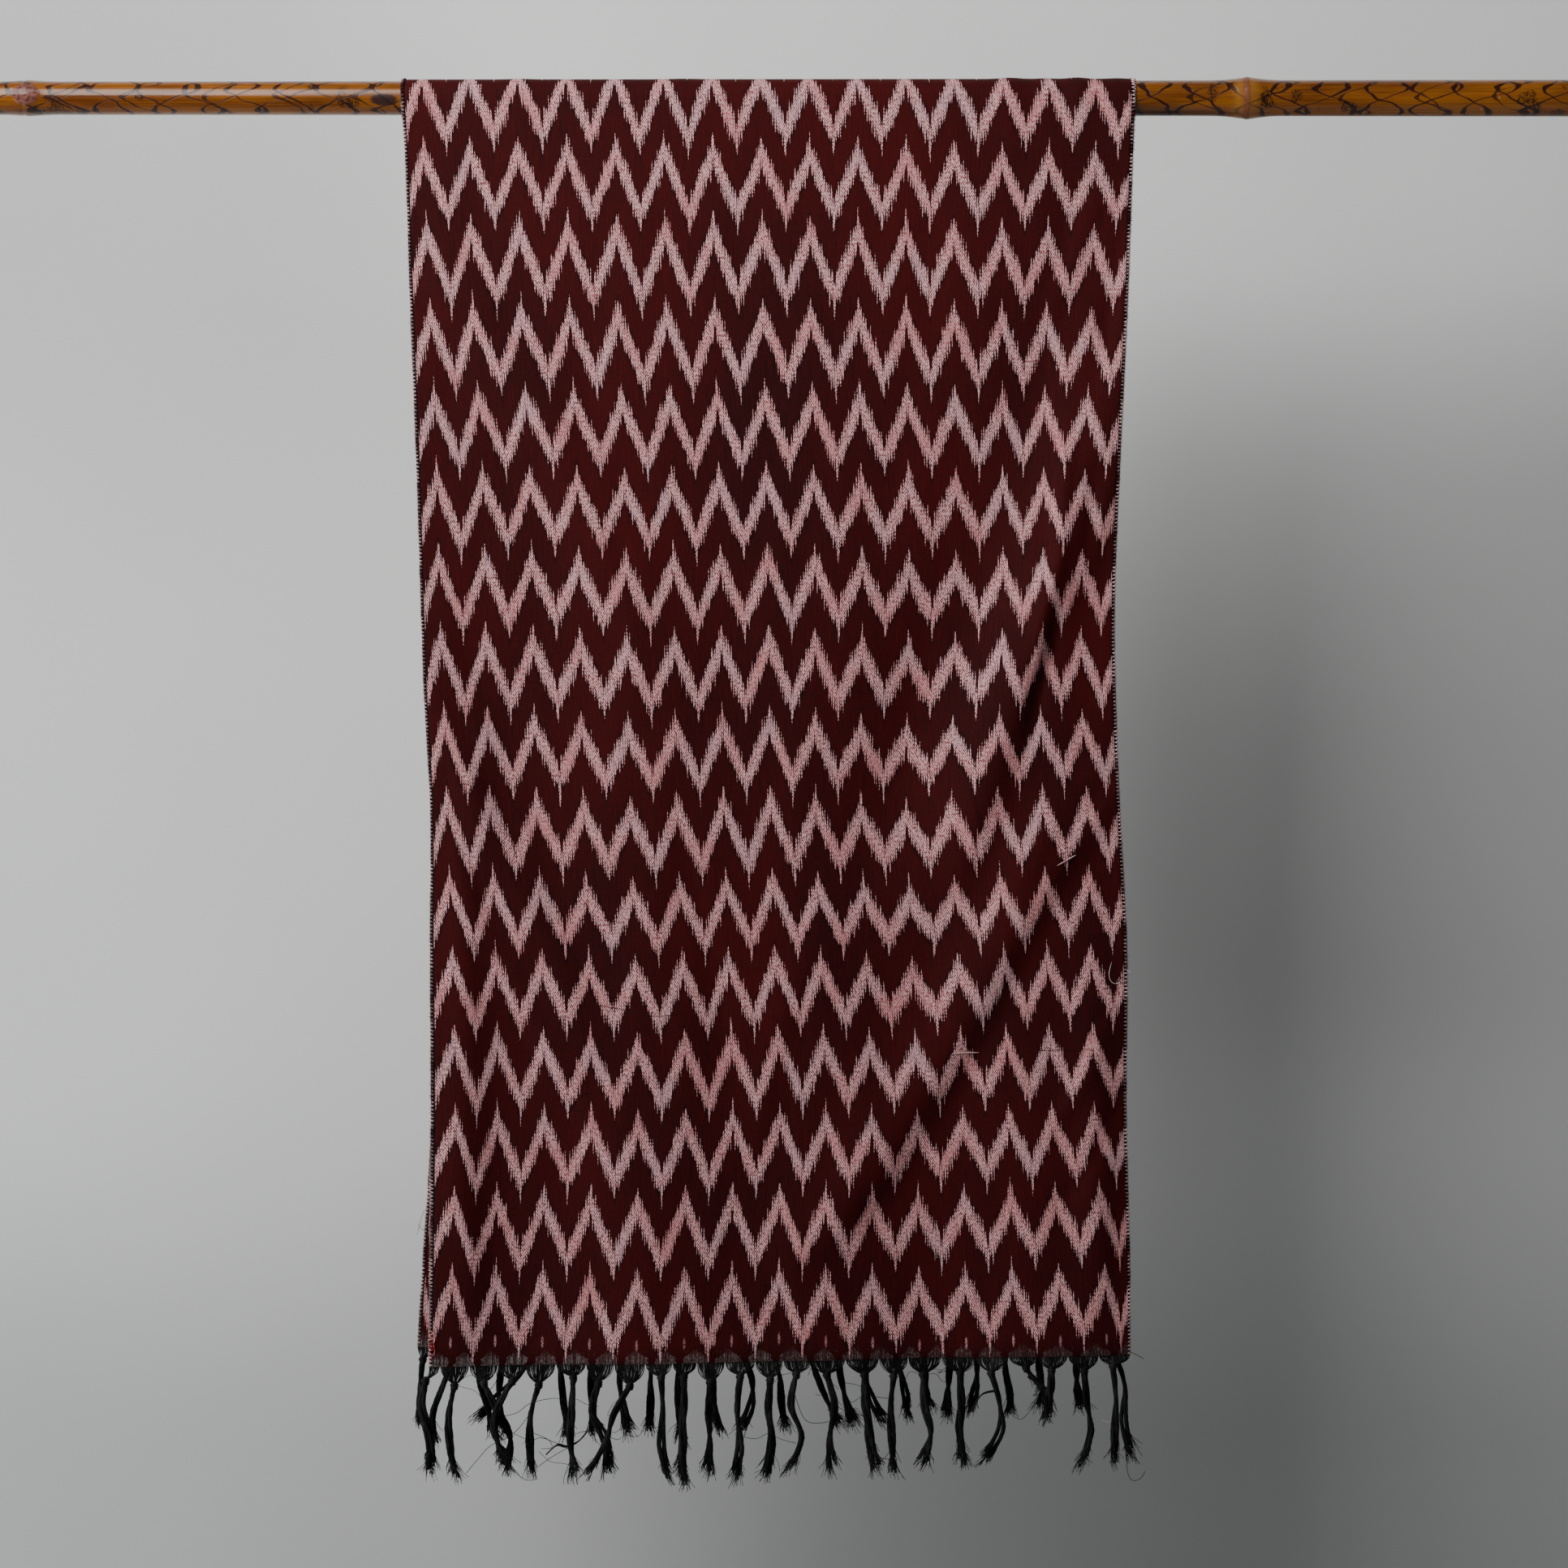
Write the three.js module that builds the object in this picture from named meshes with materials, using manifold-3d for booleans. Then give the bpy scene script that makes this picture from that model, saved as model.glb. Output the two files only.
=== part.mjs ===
// Ikat stole: one length of handwoven cotton folded over a bamboo rod, with its warp ends
// knotted into tassels along both hems.
// Millimetres. +Z is up, the stole faces -Y, and the origin is on the rod's axis at its middle.

import * as THREE from 'three';
import { mergeVertices } from 'three/addons/utils/BufferGeometryUtils.js';
import Module from 'manifold-3d';

const manifold = await Module();
manifold.setup();

// Cloth
const wall = 1.2;
const gap = 0.3;
const seamDown = 6;
const stripDepth = 4;
const calmDepth = 90;
const foldTaper = 0.6;

// Bamboo rod, thicker to the right
const rodLeft = -600;
const rodRight = 630;
const rodDiameter = 26;
const rodTaper = 0.0021;
const rodSides = 18;
const rodNodes = [
  { across: -556, swell: 1.2, reach: 24 },
  { across: 360, swell: 2.7, reach: 28 },
];

// Hems, measured down from the rod's axis. Slope is the change from the middle to the right edge.
const frontHem = { middle: 949, slope: -4.8 };
const backHem = { middle: 939.5, slope: -3 };

// Both selvedges of each fall at some depths. The cloth narrows where the folds take it up.
const frontOutline = [
  { down: 0, left: -275, right: 275 },
  { down: 110, left: -270, right: 271 },
  { down: 230, left: -266, right: 266 },
  { down: 355, left: -260, right: 260 },
  { down: 430, left: -257, right: 261 },
  { down: 540, left: -250, right: 263.5 },
  { down: 660, left: -250, right: 270 },
  { down: 820, left: -251, right: 269.5 },
  { down: 955, left: -253.5, right: 271 },
];
const backOutline = [
  { down: 0, left: -275, right: 275 },
  { down: 110, left: -270, right: 270 },
  { down: 355, left: -259, right: 259 },
  { down: 475, left: -256.5, right: 260 },
  { down: 660, left: -253.5, right: 266 },
  { down: 780, left: -255, right: 267 },
  { down: 870, left: -259, right: 269 },
  { down: 945, left: -263, right: 270.5 },
];

// Drag folds: the crest's way as [across, down], its lift away from the other fall (a trough
// where it is negative), and the spread of its upper and lower flanks.
const frontFolds = [
  { way: [[262, 40], [205, 200], [150, 380], [95, 510], [55, 610]], lift: -5, upper: 40, lower: 30 },
  { way: [[270, 190], [222, 350], [196, 415], [160, 530], [122, 625]], lift: 6.5, upper: 26, lower: 15 },
  { way: [[264, 505], [206, 580], [148, 693], [75, 812], [10, 890]], lift: 6.5, upper: 30, lower: 17 },
  { way: [[-268, 370], [-214, 520], [-165, 650], [-130, 740]], lift: 5, upper: 18, lower: 28 },
  { way: [[-200, 180], [-144, 286], [-105, 370], [-66, 455]], lift: 3.2, upper: 20, lower: 30 },
  { way: [[-250, 115], [-200, 190], [-150, 255]], lift: 2.2, upper: 18, lower: 22 },
  { way: [[-231, 480], [-226, 700], [-230, 950]], lift: 4, upper: 16, lower: 16 },
  { way: [[246, 620], [243, 790], [247, 950]], lift: 4.5, upper: 16, lower: 16 },
];
const backFolds = [
  { way: [[-258, 60], [-190, 230], [-128, 400], [-70, 560]], lift: 5, upper: 24, lower: 34 },
  { way: [[256, 130], [190, 300], [142, 450], [104, 590]], lift: 4.5, upper: 32, lower: 20 },
  { way: [[-250, 430], [-196, 590], [-120, 760], [-60, 880]], lift: 5.5, upper: 18, lower: 30 },
  { way: [[248, 500], [172, 660], [112, 790]], lift: -4, upper: 30, lower: 26 },
  { way: [[238, 640], [232, 780], [240, 935]], lift: 4, upper: 16, lower: 16 },
  { way: [[-20, 520], [12, 700], [4, 930]], lift: 3, upper: 34, lower: 34 },
];

// Upright waves that grow from nothing at the rod to their full lift at the hem.
const frontWaves = [
  { count: 1.7, start: 0.62, lift: 3 },
  { count: 3.6, start: 0.2, lift: 2 },
];
const backWaves = [
  { count: 1.4, start: 0.15, lift: 3 },
  { count: 3.1, start: 0.7, lift: 2.2 },
];

// Tassels: where the knot sits, how far under the hem, how far the locks hang below it, and
// how far they sway to the right at a third, two thirds and the end of that length.
const frontTassels = [
  { across: -256.5, knot: 9, hang: 70, sway: [-3, 3, 3] },
  { across: -235, knot: 13, hang: 68, sway: [-4, -3, 1] },
  { across: -213, knot: 12, hang: 66, sway: [10, 20, 15] },
  { across: -192, knot: 11, hang: 65, sway: [-11, -12, -4] },
  { across: -172, knot: 14, hang: 68, sway: [-6, -7, -6] },
  { across: -146, knot: 9, hang: 74, sway: [-1, -2, 1] },
  { across: -127, knot: 13, hang: 68, sway: [-5, 4, 8] },
  { across: -103.5, knot: 15, hang: 65, sway: [-12, -18, -30] },
  { across: -80, knot: 9, hang: 76, sway: [1, 0, 4] },
  { across: -63, knot: 9, hang: 80, sway: [0, -1, -1] },
  { across: -43.5, knot: 14, hang: 70, sway: [-1, 0, -2] },
  { across: -21, knot: 10, hang: 77, sway: [-2, 0, -4] },
  { across: 1.5, knot: 13, hang: 74, sway: [-1, 1, -2] },
  { across: 21, knot: 9, hang: 71, sway: [-4, 4, -4] },
  { across: 44, knot: 10, hang: 73, sway: [6, 2, 4] },
  { across: 72, knot: 11, hang: 71, sway: [1, 4, 8] },
  { across: 94, knot: 12, hang: 73, sway: [-2, -1, 0] },
  { across: 116, knot: 12, hang: 67, sway: [1, 6, -1] },
  { across: 144, knot: 11, hang: 70, sway: [1, 0, 2] },
  { across: 167, knot: 11, hang: 65, sway: [6, 7, -5] },
  { across: 193, knot: 7, hang: 18, sway: [4, 9, 13] },
  { across: 212, knot: 9, hang: 36, sway: [-1, -3, -4] },
  { across: 236.5, knot: 10, hang: 72, sway: [2, 5, -2] },
  { across: 258, knot: 7, hang: 71, sway: [2, 1, 1] },
];
const backTassels = [
  { across: -261, knot: 8, hang: 50, sway: [-2, -2, -2] },
  { across: -239, knot: 9, hang: 62, sway: [-7, -14, -13] },
  { across: -220, knot: 11, hang: 58, sway: [3, 8, 12] },
  { across: -201, knot: 9, hang: 56, sway: [-2, -2, 0] },
  { across: -179, knot: 10, hang: 46, sway: [-12, -27, -40] },
  { across: -158, knot: 10, hang: 58, sway: [2, 4, 6] },
  { across: -133, knot: 11, hang: 57, sway: [-1, -1, 2] },
  { across: -111, knot: 9, hang: 57, sway: [-1, 2, 6] },
  { across: -88, knot: 10, hang: 54, sway: [-1, -1, -2] },
  { across: -67, knot: 10, hang: 62, sway: [-1, 0, 1] },
  { across: -43, knot: 11, hang: 55, sway: [1, 3, 6] },
  { across: -18, knot: 10, hang: 54, sway: [6, 5, -2] },
  { across: 5, knot: 9, hang: 57, sway: [4, 5, 8] },
  { across: 32, knot: 10, hang: 52, sway: [6, 13, 22] },
  { across: 53, knot: 10, hang: 53, sway: [2, 6, 12] },
  { across: 74, knot: 9, hang: 50, sway: [0, 4, 13] },
  { across: 97, knot: 11, hang: 46, sway: [4, 7, 9] },
  { across: 118, knot: 10, hang: 38, sway: [0, 1, 4] },
  { across: 137, knot: 10, hang: 48, sway: [0, -1, -2] },
  { across: 157, knot: 9, hang: 44, sway: [1, -1, -5] },
  { across: 179, knot: 10, hang: 46, sway: [1, 4, 4] },
  { across: 205, knot: 9, hang: 40, sway: [0, 2, 1] },
  { across: 233, knot: 10, hang: 42, sway: [0, 1, 5] },
  { across: 261, knot: 8, hang: 78, sway: [8, 7, 12] },
];

// Fans: the cleft between two of them, and how deep and how far inwards their flanks reach, as
// shares of the way to the knot
const cleftDepth = 1;
const fanMargin = 0.3;
const fanFlank = 0.76;
const fanLean = 0.3;

// Locks wind round each other, spread at their ends and keep clear of the next tassel's
const knotRadius = 3.9;
const lockRadius = 1.9;
const lockWaist = 0.25;
const lockFray = 0.15;
const lockSpread = 2.25;
const lockTurns = 0.75;
const turnStep = 0.13;
const threeLockRoom = 1.18;
const tipSpread = 0.5;
const shorterLock = 0.07;
const crossingRoom = 4.6;

// How finely each piece is divided
const frontGrid = { columns: 34, rows: 26 };
const backGrid = { columns: 24, rows: 20 };
const saddleGrid = { columns: 8, arcSteps: 12 };
const frontLockSteps = 5;
const backLockSteps = 4;

// A value of a table's column at some depth, on a smooth curve through the rows.
function tableReader(table, column) {
  const depths = table.map((row) => row.down);
  const values = table.map((row) => row[column]);
  const curve = new THREE.CubicInterpolant(depths, values, 1, new Float64Array(1));
  return (down) => curve.evaluate(THREE.MathUtils.clamp(down, depths[0], depths.at(-1)))[0];
}

// How much of a fold's lift reaches a point, from 1 on its crest to 0 far from it.
function foldShare(fold, across, down) {
  const last = fold.way.length - 1;
  let nearest = { distance: Infinity, side: 1, along: 0 };
  for (let i = 0; i < last; i += 1) {
    const [startAcross, startDown] = fold.way[i];
    const runAcross = fold.way[i + 1][0] - startAcross;
    const runDown = fold.way[i + 1][1] - startDown;
    const awayAcross = across - startAcross;
    const awayDown = down - startDown;
    const length = Math.hypot(runAcross, runDown);
    const share = (awayAcross * runAcross + awayDown * runDown) / length ** 2;
    const held = THREE.MathUtils.clamp(share, 0, 1);
    const distance = Math.hypot(awayAcross - held * runAcross, awayDown - held * runDown);
    if (distance < nearest.distance) {
      const cross = awayDown * runAcross - awayAcross * runDown;
      const side = Math.sign(runAcross) * Math.sign(cross);
      nearest = { distance, side, along: (i + held) / last };
    }
  }
  const spread = nearest.side > 0 ? fold.lower : fold.upper;
  const taper = Math.sin(Math.PI * nearest.along) ** foldTaper;
  return taper * Math.exp(-((nearest.distance / spread) ** 2));
}

function rodRadius(across) {
  let radius = (rodDiameter + rodTaper * across) / 2;
  for (const node of rodNodes) {
    const away = Math.abs(across - node.across) / node.reach;
    if (away < 1) radius += node.swell * (1 - away) ** 2;
  }
  return radius;
}

// The middle surface of one fall. Facing is -1 for the front, which looks along -Y, and 1 for the back.
function makeFall(outline, hem, folds, waves, facing) {
  const left = tableReader(outline, 'left');
  const right = tableReader(outline, 'right');
  const hemDown = (side) => hem.middle + hem.slope * side;
  function surface(side, down) {
    const across = THREE.MathUtils.lerp(left(down), right(down), (side + 1) / 2);
    let lift = 0;
    for (const fold of folds) lift += fold.lift * foldShare(fold, across, down);
    for (const wave of waves) {
      const phase = wave.count * (side + 1) / 2 + wave.start;
      lift += wave.lift * (down / hem.middle) * Math.sin(2 * Math.PI * phase);
    }
    const calm = THREE.MathUtils.smoothstep(down, seamDown, calmDepth);
    const depth = rodRadius(across) + gap + wall / 2 + calm * lift;
    return new THREE.Vector3(across, facing * depth, -down);
  }
  return { surface, hemDown, facing };
}

// A closed body from a grid of sections: pointAt gives the two faces of the wall, face -1 and face 1.
function wallGeometry(columns, rows, pointAt) {
  const positions = [];
  const faces = [];
  const acrossCount = columns + 1;
  const faceCount = acrossCount * (rows + 1);
  const at = (i, j, layer) => layer * faceCount + j * acrossCount + i;
  const quad = (a, b, c, d) => faces.push(a, b, c, a, c, d);
  for (const face of [-1, 1]) {
    for (let j = 0; j <= rows; j += 1) {
      for (let i = 0; i <= columns; i += 1) positions.push(...pointAt(i, j, face).toArray());
    }
  }
  for (let j = 0; j < rows; j += 1) {
    for (let i = 0; i < columns; i += 1) {
      quad(at(i, j, 0), at(i + 1, j, 0), at(i + 1, j + 1, 0), at(i, j + 1, 0));
      quad(at(i, j, 1), at(i, j + 1, 1), at(i + 1, j + 1, 1), at(i + 1, j, 1));
    }
  }
  for (let i = 0; i < columns; i += 1) {
    quad(at(i, 0, 1), at(i + 1, 0, 1), at(i + 1, 0, 0), at(i, 0, 0));
    quad(at(i + 1, rows, 1), at(i, rows, 1), at(i, rows, 0), at(i + 1, rows, 0));
  }
  for (let j = 0; j < rows; j += 1) {
    quad(at(0, j + 1, 1), at(0, j, 1), at(0, j, 0), at(0, j + 1, 0));
    quad(at(columns, j, 1), at(columns, j + 1, 1), at(columns, j + 1, 0), at(columns, j, 0));
  }
  return closedGeometry(positions, faces);
}

// Indexed triangles, turned round where they enclose a negative volume.
function closedGeometry(positions, faces) {
  let volume = 0;
  const corner = (k) => new THREE.Vector3().fromArray(positions, 3 * faces[k]);
  for (let k = 0; k < faces.length; k += 3) {
    volume += corner(k).dot(corner(k + 1).cross(corner(k + 2)));
  }
  const ordered = volume < 0 ? faces.toReversed() : faces;
  const geometry = new THREE.BufferGeometry();
  geometry.setAttribute('position', new THREE.Float32BufferAttribute(positions, 3));
  geometry.setIndex(ordered);
  geometry.computeVertexNormals();
  return geometry;
}

// The wall of a fall between two depths, which may follow the hem.
function fallGeometry(fall, { columns, rows }, topDown, bottomDown) {
  return wallGeometry(columns, rows, (i, j, face) => {
    const side = 2 * i / columns - 1;
    const down = THREE.MathUtils.lerp(topDown(side), bottomDown(side), j / rows);
    const point = fall.surface(side, down);
    point.y += face * wall / 2;
    return point;
  });
}

// The stretch over the rod: a short straight leg on each side of a half round.
function saddleGeometry(front, back) {
  const { columns, arcSteps } = saddleGrid;
  const rows = arcSteps + 2;
  return wallGeometry(columns, rows, (i, j, face) => {
    const side = 2 * i / columns - 1;
    const onLeg = j === 0 || j === rows;
    const across = (j < rows / 2 ? front : back).surface(side, onLeg ? seamDown : 0).x;
    const angle = Math.PI * THREE.MathUtils.clamp((j - 1) / arcSteps, 0, 1);
    const radius = rodRadius(across) + gap + wall / 2 + face * wall / 2;
    const height = onLeg ? -seamDown : radius * Math.sin(angle);
    return new THREE.Vector3(across, -radius * Math.cos(angle), height);
  });
}

function rodGeometry() {
  const steps = [-1, -0.6, -0.3, -0.1, 0.1, 0.3, 0.6, 1]; // shares of a node's reach
  const stations = [rodLeft, rodRight];
  for (const node of rodNodes) {
    for (const step of steps) stations.push(node.across + step * node.reach);
  }
  stations.sort((a, b) => a - b);
  const profile = stations.map((across) => new THREE.Vector2(rodRadius(across), across));
  profile.unshift(new THREE.Vector2(0, rodLeft));
  profile.push(new THREE.Vector2(0, rodRight));
  return new THREE.LatheGeometry(profile, rodSides).rotateZ(-Math.PI / 2);
}

// A lock of threads: a three-sided tube that narrows in the middle and fans out at its cut end.
function lockGeometry(curve, steps) {
  const sides = 3;
  const positions = [];
  const faces = [];
  const frames = curve.computeFrenetFrames(steps, false);
  for (let j = 0; j <= steps; j += 1) {
    const share = j / steps;
    const centre = curve.getPointAt(share);
    const radius = lockRadius * (1 - lockWaist * Math.sin(Math.PI * share) + lockFray * share ** 3);
    for (let k = 0; k < sides; k += 1) {
      const angle = 2 * Math.PI * k / sides;
      const point = centre.clone();
      point.addScaledVector(frames.normals[j], radius * Math.cos(angle));
      point.addScaledVector(frames.binormals[j], radius * Math.sin(angle));
      positions.push(...point.toArray());
    }
  }
  for (let j = 0; j < steps; j += 1) {
    for (let k = 0; k < sides; k += 1) {
      const here = j * sides + k;
      const beside = j * sides + (k + 1) % sides;
      faces.push(here, beside, beside + sides, here, beside + sides, here + sides);
    }
  }
  const end = steps * sides;
  faces.push(0, 2, 1, end, end + 1, end + 2);
  return closedGeometry(positions, faces);
}

// The narrow woven edge of a hem and, below it, the loose warp ends that draw together into a
// small bowl above each knot: one wall with a scalloped lower edge.
function edgingGeometry(fall, tassels) {
  const leftEdge = fall.surface(-1, fall.hemDown(-1)).x;
  const rightEdge = fall.surface(1, fall.hemDown(1)).x;
  const stations = [];
  tassels.forEach((tassel, index) => {
    const start = index === 0 ? leftEdge : (tassels[index - 1].across + tassel.across) / 2;
    const end = index === tassels.length - 1 ? rightEdge : (tassel.across + tassels[index + 1].across) / 2;
    const margin = fanMargin * (end - start);
    const root = THREE.MathUtils.clamp(tassel.across, start + margin, end - margin);
    const onFlank = (edge) => ({
      across: (edge + root) / 2,
      lean: (tassel.across - (edge + root) / 2) * fanLean,
      drop: tassel.knot * fanFlank,
    });
    stations.push({ across: start, lean: 0, drop: cleftDepth });
    stations.push(onFlank(start));
    stations.push({ across: root, lean: tassel.across - root, drop: tassel.knot });
    stations.push(onFlank(end));
  });
  stations.push({ across: rightEdge, lean: 0, drop: cleftDepth });
  return wallGeometry(stations.length - 1, 2, (i, j, face) => {
    const station = stations[i];
    const side = 2 * (station.across - leftEdge) / (rightEdge - leftEdge) - 1;
    const point = fall.surface(side, fall.hemDown(side) - (j === 0 ? stripDepth - gap : 0));
    if (j === 2) point.add(new THREE.Vector3(station.lean, 0, -station.drop));
    point.y += face * wall / 2;
    return point;
  });
}

function toManifold(geometry) {
  const bare = geometry.clone();
  bare.deleteAttribute('normal');
  bare.deleteAttribute('uv');
  const merged = mergeVertices(bare, 1e-4);
  return new manifold.Manifold(new manifold.Mesh({
    numProp: 3,
    vertProperties: new Float32Array(merged.attributes.position.array),
    triVerts: new Uint32Array(merged.index.array),
  }));
}

function fromManifold(solid) {
  const mesh = solid.getMesh();
  const geometry = new THREE.BufferGeometry();
  geometry.setAttribute('position', new THREE.BufferAttribute(new Float32Array(mesh.vertProperties), 3));
  geometry.setIndex(new THREE.BufferAttribute(new Uint32Array(mesh.triVerts), 1));
  geometry.computeVertexNormals();
  return geometry;
}

// One hem's fringe: its edging, and on it each tassel's knot and locks.
function fringeGeometry(fall, tassels, lockSteps, lockCount) {
  let solid = toManifold(edgingGeometry(fall, tassels));
  const leftEdge = fall.surface(-1, fall.hemDown(-1)).x;
  const rightEdge = fall.surface(1, fall.hemDown(1)).x;
  tassels.forEach((tassel, index) => {
    const side = 2 * (tassel.across - leftEdge) / (rightEdge - leftEdge) - 1;
    const rooted = THREE.MathUtils.clamp(side, -1, 1);
    const knotPoint = fall.surface(rooted, fall.hemDown(rooted));
    knotPoint.x = tassel.across;
    knotPoint.z -= tassel.knot;
    const knot = new THREE.OctahedronGeometry(knotRadius).translate(...knotPoint.toArray());
    solid = solid.add(toManifold(knot));
    const room = crossingRoom * (index % 2 === 0 ? 1 : -1);
    const locks = lockCount(index);
    for (let lock = 0; lock < locks; lock += 1) {
      const points = [0, ...tassel.sway].map((sway, step) => {
        const share = step / tassel.sway.length;
        const turn = 2 * Math.PI * (lock / locks + lockTurns * share + index * turnStep);
        const spread = lockSpread * (locks === 3 ? threeLockRoom : 1) * (1 + tipSpread * share ** 2);
        const below = tassel.hang * share * (1 - shorterLock * lock);
        return knotPoint.clone().add(new THREE.Vector3(
          sway + spread * Math.cos(turn),
          room * Math.min(2 * share, 1) + spread * Math.sin(turn),
          -below,
        ));
      });
      solid = solid.add(toManifold(lockGeometry(new THREE.CatmullRomCurve3(points), lockSteps)));
    }
  });
  return fromManifold(solid);
}

const maroonCotton = { color: 0x4b1616, roughness: 0.85, metalness: 0 };
const blackCotton = { color: 0x0f0f11, roughness: 0.9, metalness: 0 };
const varnishedBamboo = { color: 0x96601f, roughness: 0.35, metalness: 0 };

function makePiece(name, geometry, finish) {
  const piece = new THREE.Mesh(geometry, new THREE.MeshStandardMaterial(finish));
  piece.name = name;
  return piece;
}

const front = makeFall(frontOutline, frontHem, frontFolds, frontWaves, -1);
const back = makeFall(backOutline, backHem, backFolds, backWaves, 1);
const seamTop = () => seamDown + gap;
const stripSeam = (fall) => (side) => fall.hemDown(side) - stripDepth;
const frontCloth = fallGeometry(front, frontGrid, seamTop, stripSeam(front));
const backCloth = fallGeometry(back, backGrid, seamTop, stripSeam(back));
const frontEnds = fringeGeometry(front, frontTassels, frontLockSteps, (index) => (index % 3 === 0 ? 3 : 2));
const backEnds = fringeGeometry(back, backTassels, backLockSteps, () => 2);

const stole = new THREE.Group();
stole.add(makePiece('bamboo_rod', rodGeometry(), varnishedBamboo));
stole.add(makePiece('front_fall', frontCloth, maroonCotton));
stole.add(makePiece('over_rod', saddleGeometry(front, back), maroonCotton));
stole.add(makePiece('back_fall', backCloth, maroonCotton));
stole.add(makePiece('front_fringe', frontEnds, blackCotton));
stole.add(makePiece('back_fringe', backEnds, blackCotton));

export default stole;
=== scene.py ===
import math
import random

import bpy
import numpy as np
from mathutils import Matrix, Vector


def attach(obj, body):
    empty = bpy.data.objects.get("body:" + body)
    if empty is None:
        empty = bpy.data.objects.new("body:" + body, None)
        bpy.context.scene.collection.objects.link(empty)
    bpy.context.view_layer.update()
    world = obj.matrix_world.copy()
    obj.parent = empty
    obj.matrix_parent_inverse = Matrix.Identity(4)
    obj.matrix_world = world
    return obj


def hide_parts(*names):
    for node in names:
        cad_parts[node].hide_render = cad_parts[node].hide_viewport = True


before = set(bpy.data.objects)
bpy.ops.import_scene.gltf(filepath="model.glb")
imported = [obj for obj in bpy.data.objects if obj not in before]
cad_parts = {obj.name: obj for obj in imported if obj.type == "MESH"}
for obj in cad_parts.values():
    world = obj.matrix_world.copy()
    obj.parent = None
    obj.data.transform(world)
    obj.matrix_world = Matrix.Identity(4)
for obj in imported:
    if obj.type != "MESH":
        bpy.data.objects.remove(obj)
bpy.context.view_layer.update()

mm = 0.001


# small helpers

def selectOnly(thing):
    bpy.ops.object.select_all(action="DESELECT")
    thing.select_set(True)
    bpy.context.view_layer.objects.active = thing


def applyModifiers(thing):
    selectOnly(thing)
    for modifier in list(thing.modifiers):
        bpy.ops.object.modifier_apply(modifier=modifier.name)


def smoothStep(value, low, high):
    share = np.clip((value - low) / (high - low), 0.0, 1.0)
    return share * share * (3 - 2 * share)


def readTable(rows, column, down):
    # a column of a table at some depths, on a smooth curve through the rows
    depths = np.array([row["down"] for row in rows], dtype=float)
    values = np.array([row[column] for row in rows], dtype=float)
    slopes = np.gradient(values, depths)
    down = np.clip(down, depths[0], depths[-1])
    here = np.clip(np.searchsorted(depths, down, side="right") - 1, 0, len(depths) - 2)
    span = depths[here + 1] - depths[here]
    t = (down - depths[here]) / span
    return ((2 * t**3 - 3 * t**2 + 1) * values[here] + (t**3 - 2 * t**2 + t) * span * slopes[here]
            + (3 * t**2 - 2 * t**3) * values[here + 1] + (t**3 - t**2) * span * slopes[here + 1])


def srgb(red, green, blue):
    def toLinear(value):
        value = value / 255
        return value / 12.92 if value <= 0.04045 else ((value + 0.055) / 1.055) ** 2.4
    return (toLinear(red), toLinear(green), toLinear(blue), 1.0)


# camera, lights and backdrop

view = {
    "distance": 3.0,
    "frameWidth": 1.1795,        # metres across the picture at the cloth
    "photoSize": 1932,           # pixels each way
    "pixelsPerMetre": 1638,
    "middlePixelX": 946.5,       # the stole's middle in the picture
    "rodPixelY": 121,            # the rod's axis in the picture
    "sensor": 36.0,
}


def placeCamera():
    half = view["photoSize"] / 2
    across = (half - view["middlePixelX"]) / view["pixelsPerMetre"]
    height = -(half - view["rodPixelY"]) / view["pixelsPerMetre"]
    bpy.ops.object.camera_add(location=(across, -view["distance"], height), rotation=(math.pi / 2, 0, 0))
    camera = bpy.context.object
    camera.name = "photoCamera"
    camera.data.sensor_width = view["sensor"]
    camera.data.lens = view["sensor"] * view["distance"] / view["frameWidth"]
    bpy.context.scene.camera = camera


studio = {
    "paperSide": 9,              # of the wall and the floor
    "backdropDepth": 0.44,       # behind the rod
    "floorDepth": 2.2,           # below the rod
    "floorForward": 3.5,         # from the backdrop to the floor's middle
    "keyPower": 34.5,
    "keySize": 1.6,
    "keySpread": 120,            # degrees
    "keyPlace": (-1.1, -1.45, 1.15),
    "keyAim": (0.0, 0.0, 0.55),
    "washPower": 20,             # on the backdrop's left side
    "washSize": 0.8,
    "washPlace": (-1.9, -0.6, -1.2),
    "washAim": (-0.85, 0.44, -0.62),
    "ambient": 0.07,
    "wallColour": (238, 241, 240),
    # painted shade on the backdrop paper, standing in for the stole's cast shadow and the light falling off
    "paintedShadowRight": 0.3,           # painted shadow of the stole on the paper at the right
    "paintedShadeLow": 0.3,             # painted shade at the bottom
    "paintedShadeLowRight": 0.15,       # more painted shade at the bottom right
    # painted shade at the upper left
    "paintedShadeHighLeft": 0.21,
}


def aimAt(thing, target):
    thing.rotation_euler = (Vector(target) - thing.location).to_track_quat("-Z", "Y").to_euler()


def addAreaLight(name, place, size, power, target, colour=(1, 1, 1), spread=180):
    bpy.ops.object.light_add(type="AREA", location=place)
    light = bpy.context.object
    light.name = name
    light.data.size = size
    light.data.energy = power
    light.data.color = colour
    light.data.spread = math.radians(spread)
    aimAt(light, target)


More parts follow.
